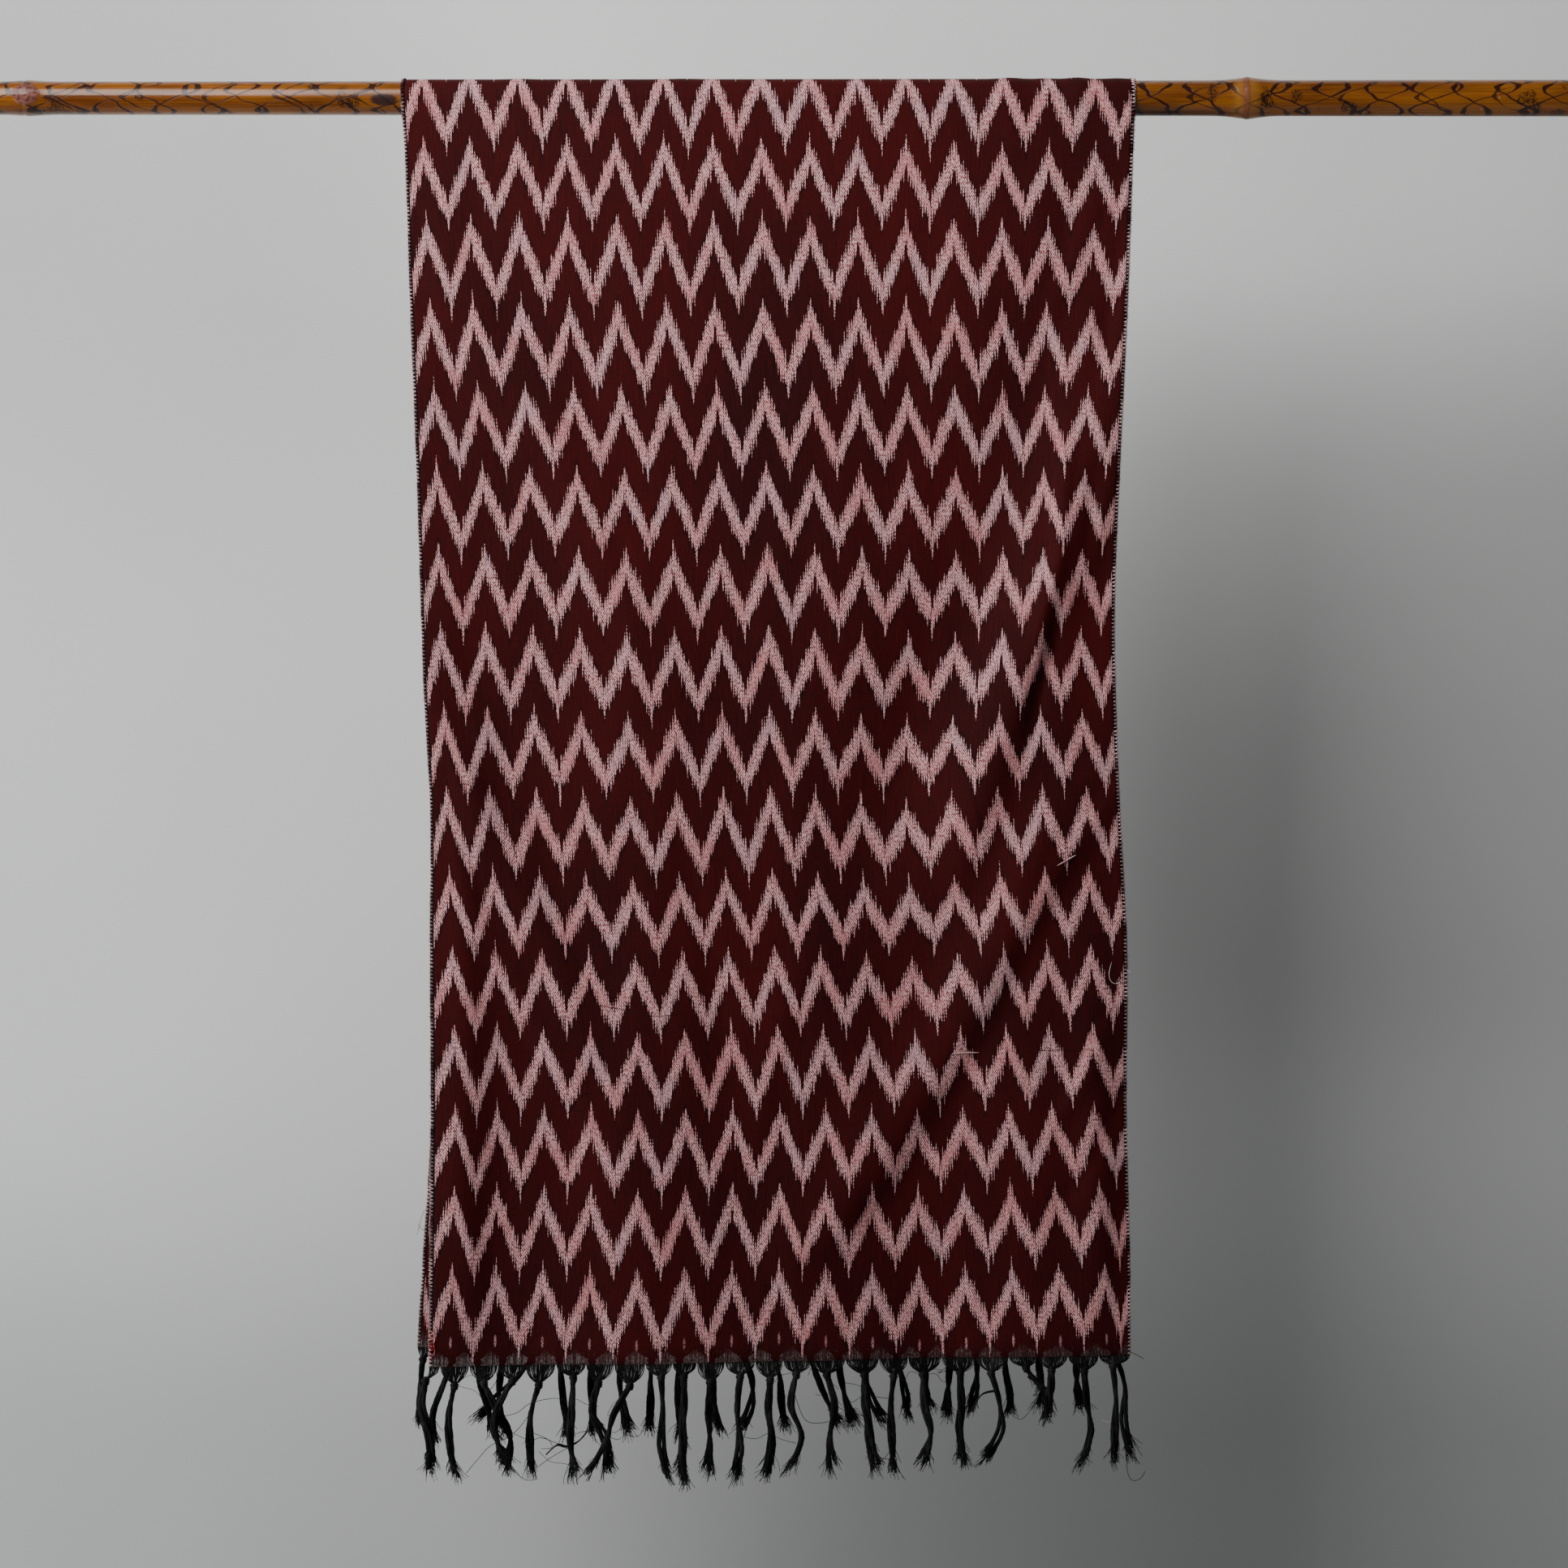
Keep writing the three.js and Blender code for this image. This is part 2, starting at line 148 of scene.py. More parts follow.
def makeBackdropPaint():
    paint, wires, shader = startMaterial("paperBackdrop")
    tree = paint.node_tree
    place = tree.nodes.new("ShaderNodeTexCoord")
    cloud = tree.nodes.new("ShaderNodeTexNoise")
    cloud.inputs["Scale"].default_value = 2.3
    cloud.inputs["Detail"].default_value = 2
    ramp = tree.nodes.new("ShaderNodeValToRGB")
    duller = [channel * 0.93 for channel in srgb(*studio["wallColour"])[:3]]
    ramp.color_ramp.elements[0].color = (*duller, 1)
    ramp.color_ramp.elements[0].position = 0.3
    ramp.color_ramp.elements[1].color = srgb(*studio["wallColour"])
    ramp.color_ramp.elements[1].position = 0.7
    tree.links.new(place.outputs["Object"], cloud.inputs["Vector"])
    tree.links.new(cloud.outputs["Fac"], ramp.inputs["Fac"])
    shader.inputs["Roughness"].default_value = 0.95

    # painted shade: the paper is darkened to the right, where the stole's shadow falls, half way down, at the
    # bottom and at the upper left
    x, y, _ = wires.split(place.outputs["Object"])
    halfway = wires.times(wires.step(y, 0.02, -0.28), wires.step(y, -1.05, -0.65))
    right = wires.times(wires.step(x, 0.2, 0.38), halfway)
    lowRight = wires.times(wires.step(x, -0.35, 0.1), studio["paintedShadeLowRight"])
    low = wires.times(wires.step(y, -0.75, -1.1), wires.plus(lowRight, studio["paintedShadeLow"]))
    highLeft = wires.times(wires.step(x, -0.15, -0.5), wires.step(y, -0.45, 0.0))
    shade = wires.plus(wires.times(right, studio["paintedShadowRight"]), low)
    shade = wires.plus(shade, wires.times(highLeft, studio["paintedShadeHighLeft"]))
    wires.feed(shader.inputs["Base Color"], wires.mix(shade, ramp.outputs["Color"], (0, 0, 0, 1)))

    # from behind one sees through it
    facing = tree.nodes.new("ShaderNodeNewGeometry")
    clear = tree.nodes.new("ShaderNodeBsdfTransparent")
    either = tree.nodes.new("ShaderNodeMixShader")
    tree.links.new(facing.outputs["Backfacing"], either.inputs[0])
    tree.links.new(shader.outputs[0], either.inputs[1])
    tree.links.new(clear.outputs[0], either.inputs[2])
    tree.links.new(either.outputs[0], tree.nodes["Material Output"].inputs["Surface"])
    return paint


def makeStudio():
    paint = makeBackdropPaint()
    side, behind = studio["paperSide"], studio["backdropDepth"]
    bpy.ops.mesh.primitive_plane_add(size=side, location=(0, behind, 0), rotation=(math.pi / 2, 0, 0))
    wall = bpy.context.object
    wall.name = "backdrop"
    under = (0, behind - studio["floorForward"], -studio["floorDepth"])
    bpy.ops.mesh.primitive_plane_add(size=side, location=under)
    floor = bpy.context.object
    floor.name = "studioFloor"
    for piece in (wall, floor):
        piece.data.materials.append(paint)
    addAreaLight("keySoftbox", studio["keyPlace"], studio["keySize"], studio["keyPower"], studio["keyAim"],
                 (1.0, 0.99, 0.97), studio["keySpread"])
    addAreaLight("wallWash", studio["washPlace"], studio["washSize"], studio["washPower"], studio["washAim"],
                 (0.97, 0.99, 1.0))
    world = bpy.data.worlds.new("studioAir")
    world.use_nodes = True
    world.node_tree.nodes["Background"].inputs["Color"].default_value = (0.86, 0.89, 0.9, 1)
    world.node_tree.nodes["Background"].inputs["Strength"].default_value = studio["ambient"]
    bpy.context.scene.world = world
    print("stage: studio and camera placed")


# shader building

class Wiring:
    # short names for the nodes of one tree
    def __init__(self, tree):
        self.tree = tree

    def feed(self, socket, value):
        if isinstance(value, bpy.types.NodeSocket):
            self.tree.links.new(value, socket)
        else:
            socket.default_value = value

    def math(self, operation, first, second=0.0, third=0.0):
        node = self.tree.nodes.new("ShaderNodeMath")
        node.operation = operation
        for socket, value in zip(node.inputs, (first, second, third)):
            self.feed(socket, value)
        return node.outputs[0]

    def times(self, first, second):
        return self.math("MULTIPLY", first, second)

    def plus(self, first, second):
        return self.math("ADD", first, second)

    def minus(self, first, second):
        return self.math("SUBTRACT", first, second)

    def over(self, first, second):
        return self.math("DIVIDE", first, second)

    def most(self, first, second):
        return self.math("MAXIMUM", first, second)

    def least(self, first, second):
        return self.math("MINIMUM", first, second)

    def size(self, value):
        return self.math("ABSOLUTE", value)

    def power(self, value, exponent):
        return self.math("POWER", value, exponent)

    def whole(self, value):
        return self.math("ROUND", value)

    def step(self, value, low, high):
        # smooth from 0 at low to 1 at high
        node = self.tree.nodes.new("ShaderNodeMapRange")
        node.interpolation_type = "SMOOTHSTEP"
        self.feed(node.inputs["Value"], value)
        self.feed(node.inputs["From Min"], low)
        self.feed(node.inputs["From Max"], high)
        return node.outputs["Result"]

    def join(self, x=0.0, y=0.0, z=0.0):
        node = self.tree.nodes.new("ShaderNodeCombineXYZ")
        for socket, value in zip(node.inputs, (x, y, z)):
            self.feed(socket, value)
        return node.outputs[0]

    def split(self, vector):
        node = self.tree.nodes.new("ShaderNodeSeparateXYZ")
        self.feed(node.inputs[0], vector)
        return node.outputs[0], node.outputs[1], node.outputs[2]

    def noise(self, places, scales, shift=0.0, detail=2.0, roughness=0.5):
        # the shift stands for a third place where there are only two
        scaled = [self.times(place, scale) for place, scale in zip(places, scales)]
        node = self.tree.nodes.new("ShaderNodeTexNoise")
        self.feed(node.inputs["Vector"], self.join(*[*scaled, shift][:3]))
        node.inputs["Scale"].default_value = 1
        node.inputs["Detail"].default_value = detail
        node.inputs["Roughness"].default_value = roughness
        return node.outputs["Fac"]

    def dice(self, vector):
        # one random value for each whole-numbered cell
        node = self.tree.nodes.new("ShaderNodeTexWhiteNoise")
        node.noise_dimensions = "3D"
        self.feed(node.inputs["Vector"], vector)
        return node.outputs["Value"]

    def mix(self, share, first, second, blend="MIX"):
        node = self.tree.nodes.new("ShaderNodeMix")
        node.data_type = "RGBA"
        node.blend_type = blend
        self.feed(node.inputs[0], share)
        self.feed(node.inputs[6], first)
        self.feed(node.inputs[7], second)
        return node.outputs[2]

    def bump(self, height, strength, distance):
        node = self.tree.nodes.new("ShaderNodeBump")
        node.inputs["Strength"].default_value = strength
        node.inputs["Distance"].default_value = distance
        self.feed(node.inputs["Height"], height)
        return node.outputs["Normal"]


def startMaterial(name):
    material = bpy.data.materials.new(name)
    material.use_nodes = True
    wires = Wiring(material.node_tree)
    return material, wires, material.node_tree.nodes["Principled BSDF"]


def uvSockets(wires, name):
    node = wires.tree.nodes.new("ShaderNodeUVMap")
    node.uv_map = name
    return wires.split(node.outputs["UV"])


placeCamera()
makeStudio()


def startGroup(name, places, results):
    # a node group that takes numbers, and gives numbers or a colour
    group = bpy.data.node_groups.new(name, "ShaderNodeTree")
    for place in places:
        group.interface.new_socket(place, in_out="INPUT", socket_type="NodeSocketFloat")
    for result in results:
        kind = "NodeSocketColor" if result == "Colour" else "NodeSocketFloat"
        group.interface.new_socket(result, in_out="OUTPUT", socket_type=kind)
    source = group.nodes.new("NodeGroupInput")
    sink = group.nodes.new("NodeGroupOutput")
    return Wiring(group), [source.outputs[place] for place in places], sink


def useGroup(wires, group, places, values):
    node = wires.tree.nodes.new("ShaderNodeGroup")
    node.node_tree = group
    for place, value in zip(places, values):
        wires.feed(node.inputs[place], value)
    return node.outputs


threadPlaces = ("Across", "Along")
threadPitch = {"warp": 0.0017, "weft": 0.0025, "selvedgeCord": 0.0011}


def makeThreadGrain():
    # threads that run along Y: fine streaks, a few darker ones and the weave's tiny bumps
    wires, (across, along), sink = startGroup("threadGrain", threadPlaces, ("Streak", "Cell", "Relief"))
    long = wires.noise((across, along), (1900, 45), 0, 2, 0.6)
    short = wires.noise((across, along), (800, 420), 3, 2)
    streak = wires.plus(wires.times(long, 0.65), wires.times(short, 0.35))
    wander = wires.noise((across, along), (260, 260), 5, 1)
    lean = wires.times(wander, 5.0)
    warpTurn = wires.plus(wires.times(across, 2 * math.pi / threadPitch["warp"]), lean)
    weftTurn = wires.plus(wires.times(along, 2 * math.pi / threadPitch["weft"]), lean)
    plain = wires.times(wires.math("SINE", warpTurn), wires.math("SINE", weftTurn))
    jitter = wires.noise((across, along), (620, 500), 7, 1)
    cell = wires.plus(wires.times(plain, 0.27), jitter)
    wires.feed(sink.inputs["Streak"], streak)
    wires.feed(sink.inputs["Cell"], cell)
    wires.feed(sink.inputs["Relief"], wires.plus(wires.times(plain, 0.5), streak))
    return wires.tree


threadGrain = makeThreadGrain()


def useThreadGrain(wires, across, along):
    results = useGroup(wires, threadGrain, threadPlaces, (across, along))
    return results["Streak"], results["Cell"], results["Relief"]


ikat = {
    "columns": 20,               # bundles of warp in one zigzag
    "rise": 0.72,                # from tip to valley, in rows
    "lead": 0.022,               # of the tips above their row
    "tip": 0.053,                # the bundle at each tip and valley reaches this much further
    "shoulder": 0.045,           # and those beside a valley end this much sooner
    "thickness": 0.356,          # of the pale band, in rows
    "feather": 0.14,             # how far a bundle's edges lag behind its middle
    "slip": 0.11,                # of single threads beyond their bundle, in rows
    "soft": 0.011,
    "lastRow": 14.5,             # below this only the flecks are left
    "fleckRow": 14.93,
    "fleckLong": 0.085,
    "fleckWide": 0.032,
    "paleThread": (244, 187, 190),
    "roseThread": (98, 26, 30),
    "rosy": (200, 112, 114),
    "greyish": (190, 158, 166),
    "maroon": (76, 8, 9),
    "deepMaroon": (36, 4, 6),
    "darkThread": (9, 2, 3),
    "selvedge": (20, 7, 8),
}


weavePlaces = ("RepeatX", "RepeatY", "ClothX", "ClothY")


def makeIkatWeave():
    # colour and relief of the patterned cloth, from its place in the pattern and on the cloth
    wires, places, sink = startGroup("ikatWeave", weavePlaces, ("Colour", "Relief", "Streak"))
    repeatX, repeatY, clothX, clothY = places
    streak, cell, relief = useThreadGrain(wires, clothX, clothY)

    # each column of warp threads was tied as one bundle, so the zigzag climbs in steps
    onColumns = wires.times(repeatX, ikat["columns"])
    column = wires.whole(onColumns)
    inColumn = wires.size(wires.minus(onColumns, column))
    centre = wires.over(column, ikat["columns"])
    fromPeak = wires.size(wires.minus(centre, wires.whole(centre)))
    tips = wires.plus(wires.step(fromPeak, 0.0, 0.04), wires.step(fromPeak, 0.46, 0.5))
    longer = wires.minus(wires.times(tips, ikat["tip"]), ikat["lead"])
    slope = wires.plus(wires.times(fromPeak, 2 * ikat["rise"]), longer)
    columnSlip = wires.minus(wires.dice(wires.join(column, 5.0)), 0.5)
    shifted = wires.minus(repeatY, slope)
    shifted = wires.plus(shifted, wires.times(columnSlip, 0.045))
    row = wires.math("FLOOR", wires.plus(shifted, 0.25))
    depth = wires.minus(shifted, row)

    # threads of a bundle slipped a little while they were dyed and woven
    thread = wires.math("FLOOR", wires.times(onColumns, 4))
    threadSlip = wires.power(wires.dice(wires.join(thread, row, 1.0)), 2.5)
    otherSlip = wires.power(wires.dice(wires.join(thread, row, 2.0)), 2.5)
    lag = wires.times(wires.power(wires.times(inColumn, 2), 1.6), ikat["feather"])
    start = wires.minus(wires.minus(lag, 0.008), wires.times(threadSlip, ikat["slip"]))
    finish = wires.plus(wires.minus(ikat["thickness"], lag), wires.times(otherSlip, ikat["slip"]))
    beside = wires.minus(wires.step(fromPeak, 0.40, 0.44), wires.step(fromPeak, 0.46, 0.5))
    finish = wires.minus(finish, wires.times(beside, ikat["shoulder"]))
    begun = wires.step(wires.minus(depth, start), 0.0, ikat["soft"])
    ending = wires.step(wires.minus(finish, depth), 0.0, ikat["soft"])
    band = wires.times(begun, ending)
    inRows = wires.math("LESS_THAN", row, ikat["lastRow"])
    band = wires.times(band, inRows)

    # the next row is only a fleck under each arch beside the front hem
    fleckX = wires.minus(repeatX, wires.whole(repeatX))
    fleckX = wires.over(fleckX, ikat["fleckWide"])
    fleckY = wires.over(wires.minus(repeatY, ikat["fleckRow"]), ikat["fleckLong"])
    away = wires.plus(wires.times(fleckX, fleckX), wires.times(fleckY, fleckY))
    fleck = wires.step(wires.plus(away, wires.times(streak, 1.2)), 1.7, 0.8)
    faint = wires.dice(wires.join(wires.whole(repeatX), 9.0))
    fleck = wires.times(fleck, wires.plus(0.35, wires.times(faint, 0.4)))
    pale = wires.most(band, fleck)

    # nearly black threads stand between the tips of the pale ones
    nearTop = wires.step(depth, -0.10, 0.0)
    nearEnd = wires.step(depth, ikat["thickness"] + 0.10, ikat["thickness"])
    around = wires.times(wires.times(nearTop, nearEnd), inRows)
    edgeThread = wires.step(inColumn, 0.18, 0.5)
    outline = wires.times(around, wires.plus(0.45, wires.times(edgeThread, 0.55)))

    cloud = wires.noise((clothX, clothY), (9, 5), 0, 2)
    tone = wires.plus(wires.times(streak, 0.8), wires.times(cloud, 0.35))
    ground = wires.mix(wires.step(tone, 0.36, 0.78), srgb(*ikat["deepMaroon"]), srgb(*ikat["maroon"]))
    ground = wires.mix(outline, ground, srgb(*ikat["darkThread"]))
    speckle = wires.step(wires.plus(cell, wires.times(streak, 0.3)), 0.44, 0.74)
    light = wires.mix(speckle, srgb(*ikat["roseThread"]), srgb(*ikat["paleThread"]))
    rosy = wires.noise((clothX, clothY), (30, 24), 4, 2)
    light = wires.mix(wires.times(wires.step(rosy, 0.42, 0.72), 0.4), light, srgb(*ikat["rosy"]))
    light = wires.mix(wires.times(wires.step(rosy, 0.5, 0.3), 0.3), light, srgb(*ikat["greyish"]))
    colour = wires.mix(pale, ground, light)

    # corded selvedges, darker than the ground
    edge = wires.least(clothX, wires.minus(cloth["width"] * mm, clothX))
    corded = wires.step(edge, 0.0034, 0.0022)
    colour = wires.mix(corded, colour, srgb(*ikat["selvedge"]))
    cords = wires.math("SINE", wires.times(clothX, 2 * math.pi / threadPitch["selvedgeCord"]))
    ribs = wires.times(corded, cords)
    wires.feed(sink.inputs["Colour"], colour)
    wires.feed(sink.inputs["Relief"], wires.plus(relief, ribs))
    wires.feed(sink.inputs["Streak"], streak)
    return wires.tree


def makeIkatCotton(name, weave, atHem):
    material, wires, shader = startMaterial(name)
    repeatX, repeatY, _ = uvSockets(wires, "ikatMap")
    clothX, clothY, _ = uvSockets(wires, "clothMap")
    woven = useGroup(wires, weave, weavePlaces, (repeatX, repeatY, clothX, clothY))
    wires.feed(shader.inputs["Base Color"], woven["Colour"])
    shader.inputs["Roughness"].default_value = 0.74
    shader.inputs["Sheen Weight"].default_value = 0.02
    shader.inputs["Sheen Roughness"].default_value = 0.4
    shader.inputs["Specular IOR Level"].default_value = 0.12
    wires.feed(shader.inputs["Normal"], wires.bump(woven["Relief"], 0.35, 0.0003))
    if not atHem:
        return material

    # the last weft rows are loose, so the hem is sheer
    streak = woven["Streak"]
    hemway = wires.least(clothY, wires.minus(flatLength() * mm, clothY))
    sheer = wires.step(wires.plus(hemway, wires.times(streak, 0.006)), 0.019, 0.008)
    gaps = wires.step(streak, 0.42, 0.68)
    thin = wires.times(sheer, wires.plus(0.12, wires.times(gaps, 0.52)))
    thin = wires.most(thin, wires.times(wires.step(hemway, 0.0018, 0.0006), 0.85))
    wires.feed(shader.inputs["Alpha"], wires.minus(1.0, thin))
    return material


# the cloth, in millimetres until it becomes a mesh

cloth = {
    "width": 550,
    "wall": 1.2,
    "gap": 0.3,
    "shell": 0.55,               # of the thin shell that shows
    "sheerHem": 27,              # the faces near enough to a hem to be see-through
    "seamDown": 6,
    "calmDepth": 90,
    "foldTaper": 0.6,
    "creaseDepth": 1.5,
    "columns": 116,
    "frontRows": 172,
    "arcRows": 16,
    "backRows": 120,
    "repeat": 36.01,             # across, from peak to peak
    "firstPeak": 15.6,           # from the left selvedge
    "rowPitch": 60.5,
}
rod = {
    "left": -600,
    "right": 630,
    "diameter": 26,
    "taper": 0.0021,
    "nodes": [{"across": -556, "swell": 1.2, "reach": 24}, {"across": 360, "swell": 2.7, "reach": 28}],
}
frontHem = {"middle": 949, "slope": -4.8}
backHem = {"middle": 939.5, "slope": -3}

# where the warp lies at some depths: both selvedges and some peaks of the zigzag, from left to right
warpPlaces = ("down", "left", "peak0", "peak1", "peak7", "peak12", "peak14", "right")
warpLines = [dict(zip(warpPlaces, row)) for row in (
    (0, -275, -259.4, -224.5, -5.9, 176, 245.5, 275),
    (31, -272.8, -258.5, -223.7, -5.2, 175.5, 245.4, 273.8),
    (153, -268.3, -253, -221.3, -4, 175, 242.7, 269.5),
    (277, -263.4, -248.2, -214, -1.5, 176, 237, 263.4),
    (399, -259.4, -245.4, -211.5, 0.3, 175.5, 234.2, 259.4),
    (460, -257, -242.5, -210.5, 0.9, 173, 235, 260.6),
    (521, -253.4, -240.8, -208.5, 1.5, 171.5, 238.4, 262.8),
    (642, -253.2, -236, -204, 5.2, 176, 241.5, 268.7),
    (759, -252.6, -233.5, -203, 8.9, 180, 244, 268.2),
    (878, -253.2, -236, -204, 8.2, 182.5, 252, 270.8),
    (955, -254, -238.4, -205, 8.2, 184, 254.3, 271),
)]
backOutline = [
    {"down": 0, "left": -275, "right": 275},
    {"down": 110, "left": -270, "right": 270},
    {"down": 355, "left": -259, "right": 259},
    {"down": 475, "left": -256.5, "right": 260},
    {"down": 660, "left": -253.5, "right": 266},
    {"down": 780, "left": -255, "right": 267},
    {"down": 870, "left": -260.8, "right": 269},
    {"down": 945, "left": -265.4, "right": 270.5},
]
# how far below the rod's axis each row of peaks lies on the front
rowDepths = [31, 89, 152.5, 216, 277, 338, 399, 461.5, 521.5, 583.5, 641.5, 700, 759.5, 818.5, 878.5]

# how far peaks and valleys of the pattern sag below their row, in millimetres, at some depths
sagPlaces = {"peaks": (0, 4, 7, 10, 11, 12, 14), "valleys": (0.5, 2.5, 4.5, 7.5, 11, 13.5)}
patternSag = [
    {"down": 60, "peaks": (1.5, 0, 2, 4, 5, 7, 9.5), "valleys": (4, 2.5, 6, 2.5, 3.5, 3)},
    {"down": 220, "peaks": (0, 3, 0, 1.5, 3, 4, 6), "valleys": (2, -0.5, 3, 1.5, 1, -0.5)},
    {"down": 400, "peaks": (-3.5, 4.5, -2, 8, 7.5, 2, 3), "valleys": (1.5, -5, -1, -2, -5.5, -6)},
    {"down": 585, "peaks": (-5, 5, -5.5, 9.5, 3.5, -2, -5.5), "valleys": (-1.5, -6.5, -2, -3.5, -9.5, -10.5)},
    {"down": 815, "peaks": (-2.5, 1.5, -4, 3, 1, -1.5, -2.5), "valleys": (1.5, -2.5, 1, -4, -8, -11)},
]


def fold(way, lift, upper, lower):
    # a ridge or trough along the way, as across and down, and how far its two flanks spread
    return {"way": way, "lift": lift, "upper": upper, "lower": lower}


frontFolds = [
    fold([(262, 40), (205, 200), (150, 380), (95, 510), (55, 610)], -5, 40, 30),
    fold([(270, 190), (222, 350), (196, 415), (160, 530), (122, 625)], 6.5, 26, 15),
    fold([(264, 505), (206, 580), (148, 693), (75, 812), (10, 890)], 6.5, 30, 17),
    fold([(-268, 370), (-214, 520), (-165, 650), (-130, 740)], 5, 18, 28),
    fold([(-200, 180), (-144, 286), (-105, 370), (-66, 455)], 3.2, 20, 30),
    fold([(-250, 115), (-200, 190), (-150, 255)], 2.2, 18, 22),
    fold([(-231, 480), (-226, 700), (-230, 950)], 4, 16, 16),
    fold([(246, 620), (243, 790), (247, 950)], 4.5, 16, 16),
]
backFolds = [
    fold([(-258, 60), (-190, 230), (-128, 400), (-70, 560)], 5, 24, 34),
    fold([(256, 130), (190, 300), (142, 450), (104, 590)], 4.5, 32, 20),
    fold([(-250, 430), (-196, 590), (-120, 760), (-60, 880)], 5.5, 18, 30),
    fold([(248, 500), (172, 660), (112, 790)], -4, 30, 26),
    fold([(238, 640), (232, 780), (240, 935)], 4, 16, 16),
    fold([(-20, 520), (12, 700), (4, 930)], 3, 34, 34),
]
# creases too fine for the solids, listed beside the large folds
frontCreases = [
    fold([(226, 246), (221, 300), (219, 345), (211, 370), (204, 404), (196, 440)], 2.4, 7, 5),
    fold([(217, 378), (214, 402), (210, 424), (203, 444), (199, 468), (190, 500)], -2.4, 5, 5),
    fold([(246, 268), (240, 312), (238, 352)], -1.4, 5, 6),
    fold([(272, 238), (256, 300), (240, 356)], 1.2, 7, 5),
    fold([(271, 470), (250, 520), (214, 566), (190, 612)], -1.2, 9, 7),
    fold([(262, 548), (226, 590), (190, 652), (160, 716), (124, 775)], -0.9, 9, 10),
    fold([(150, 735), (100, 815), (50, 880)], -0.6, 10, 12),
    fold([(-246, 436), (-222, 486), (-198, 540), (-178, 590)], -1.6, 6, 8),
    fold([(-244, 500), (-226, 560), (-208, 628)], -1.4, 5, 7),
    fold([(-236, 560), (-204, 640), (-160, 720), (-118, 784)], 1.1, 8, 8),
    fold([(-262, 132), (-214, 190), (-176, 232)], 0.9, 6, 8),
    fold([(-150, 250), (-118, 330), (-80, 408)], -0.9, 9, 7),
    fold([(250, 60), (232, 120), (206, 176)], 1.0, 7, 6),
    fold([(266, 90), (256, 160), (244, 226)], -1.0, 6, 6),
    fold([(40, 600), (10, 700), (-14, 800)], 0.9, 12, 9),
    fold([(-60, 560), (-38, 680), (-24, 790)], -0.8, 10, 12),
    fold([(258, 690), (236, 740), (206, 786)], 1.2, 6, 5),
    fold([(266, 740), (240, 800), (214, 838)], -1.2, 6, 7),
    fold([(-244, 800), (-226, 850), (-214, 906)], 0.9, 6, 6),
]
backCreases = [
    fold([(-262, 120), (-220, 220), (-178, 320)], 1.3, 7, 6),
    fold([(-150, 380), (-104, 480), (-76, 560)], -1.2, 8, 9),
    fold([(262, 210), (214, 310), (170, 410)], -1.5, 7, 8),
    fold([(-240, 500), (-180, 640), (-120, 740)], -1.6, 8, 6),
    fold([(236, 560), (186, 660), (140, 744)], 1.4, 6, 8),
    fold([(60, 640), (40, 760), (52, 880)], 0.9, 11, 9),
    fold([(-90, 700), (-104, 800), (-92, 900)], -0.8, 9, 9),
]
frontWaves = [{"count": 1.7, "start": 0.62, "lift": 3}, {"count": 3.6, "start": 0.2, "lift": 2}]
backWaves = [{"count": 1.4, "start": 0.15, "lift": 3}, {"count": 3.1, "start": 0.7, "lift": 2.2}]
# small puckers where the cloth bends over the rod
rodPuckers = [
    {"across": 182, "reach": 9, "lift": 0.9},
    {"across": 208, "reach": 6, "lift": 0.5},
    {"across": 232, "reach": 8, "lift": 1.1},
    {"across": 262, "reach": 7, "lift": 0.5},
    {"across": -64, "reach": 14, "lift": 0.4},
    {"across": -186, "reach": 10, "lift": 0.5},
]


def hemDown(hem, side):
    return hem["middle"] + hem["slope"] * side


def rodRadius(across):
    radius = (rod["diameter"] + rod["taper"] * across) / 2
    for node in rod["nodes"]:
        away = np.clip(np.abs(across - node["across"]) / node["reach"], 0, 1)
        radius = radius + node["swell"] * (1 - away) ** 2
    return radius


def hangRadius(across):
    return rodRadius(across) + cloth["gap"] + cloth["wall"] / 2


def arcLength():
    return math.pi * float(hangRadius(0.0))


def flatLength():
    return frontHem["middle"] + arcLength() + backHem["middle"]


def foldShare(fold, across, down):
    # 1 on the crest, falling away on both flanks and to both ends
    nearest = np.full(np.shape(across), np.inf)
    side = np.ones(np.shape(across))
    along = np.zeros(np.shape(across))
    last = len(fold["way"]) - 1
    for i in range(last):
        (x0, d0), (x1, d1) = fold["way"][i], fold["way"][i + 1]
        runX, runD = x1 - x0, d1 - d0
        awayX, awayD = across - x0, down - d0
        held = np.clip((awayX * runX + awayD * runD) / (runX**2 + runD**2), 0, 1)
        distance = np.hypot(awayX - held * runX, awayD - held * runD)
        cross = awayD * runX - awayX * runD
        closer = distance < nearest
        nearest = np.where(closer, distance, nearest)
        side = np.where(closer, np.sign(runX) * np.sign(cross), side)
        along = np.where(closer, (i + held) / last, along)
    spread = np.where(side > 0, fold["lower"], fold["upper"])
    taper = np.sin(np.pi * np.clip(along, 0, 1)) ** cloth["foldTaper"]
    return taper * np.exp(-((nearest / spread) ** 2))


def puckerLift(across):
    lift = np.zeros(np.shape(across))
    for pucker in rodPuckers:
        lift = lift + pucker["lift"] * np.exp(-(((across - pucker["across"]) / pucker["reach"]) ** 2))
    return lift


def slightUnevenness(side, down):
    # long soft ripples along the warp, less than half a millimetre high
    return (0.28 * np.sin(31 * side + 0.006 * down) * np.sin(0.021 * down + 4 * side)
            + 0.16 * np.sin(57 * side - 0.011 * down + 1.3) * np.sin(0.034 * down - 7 * side))


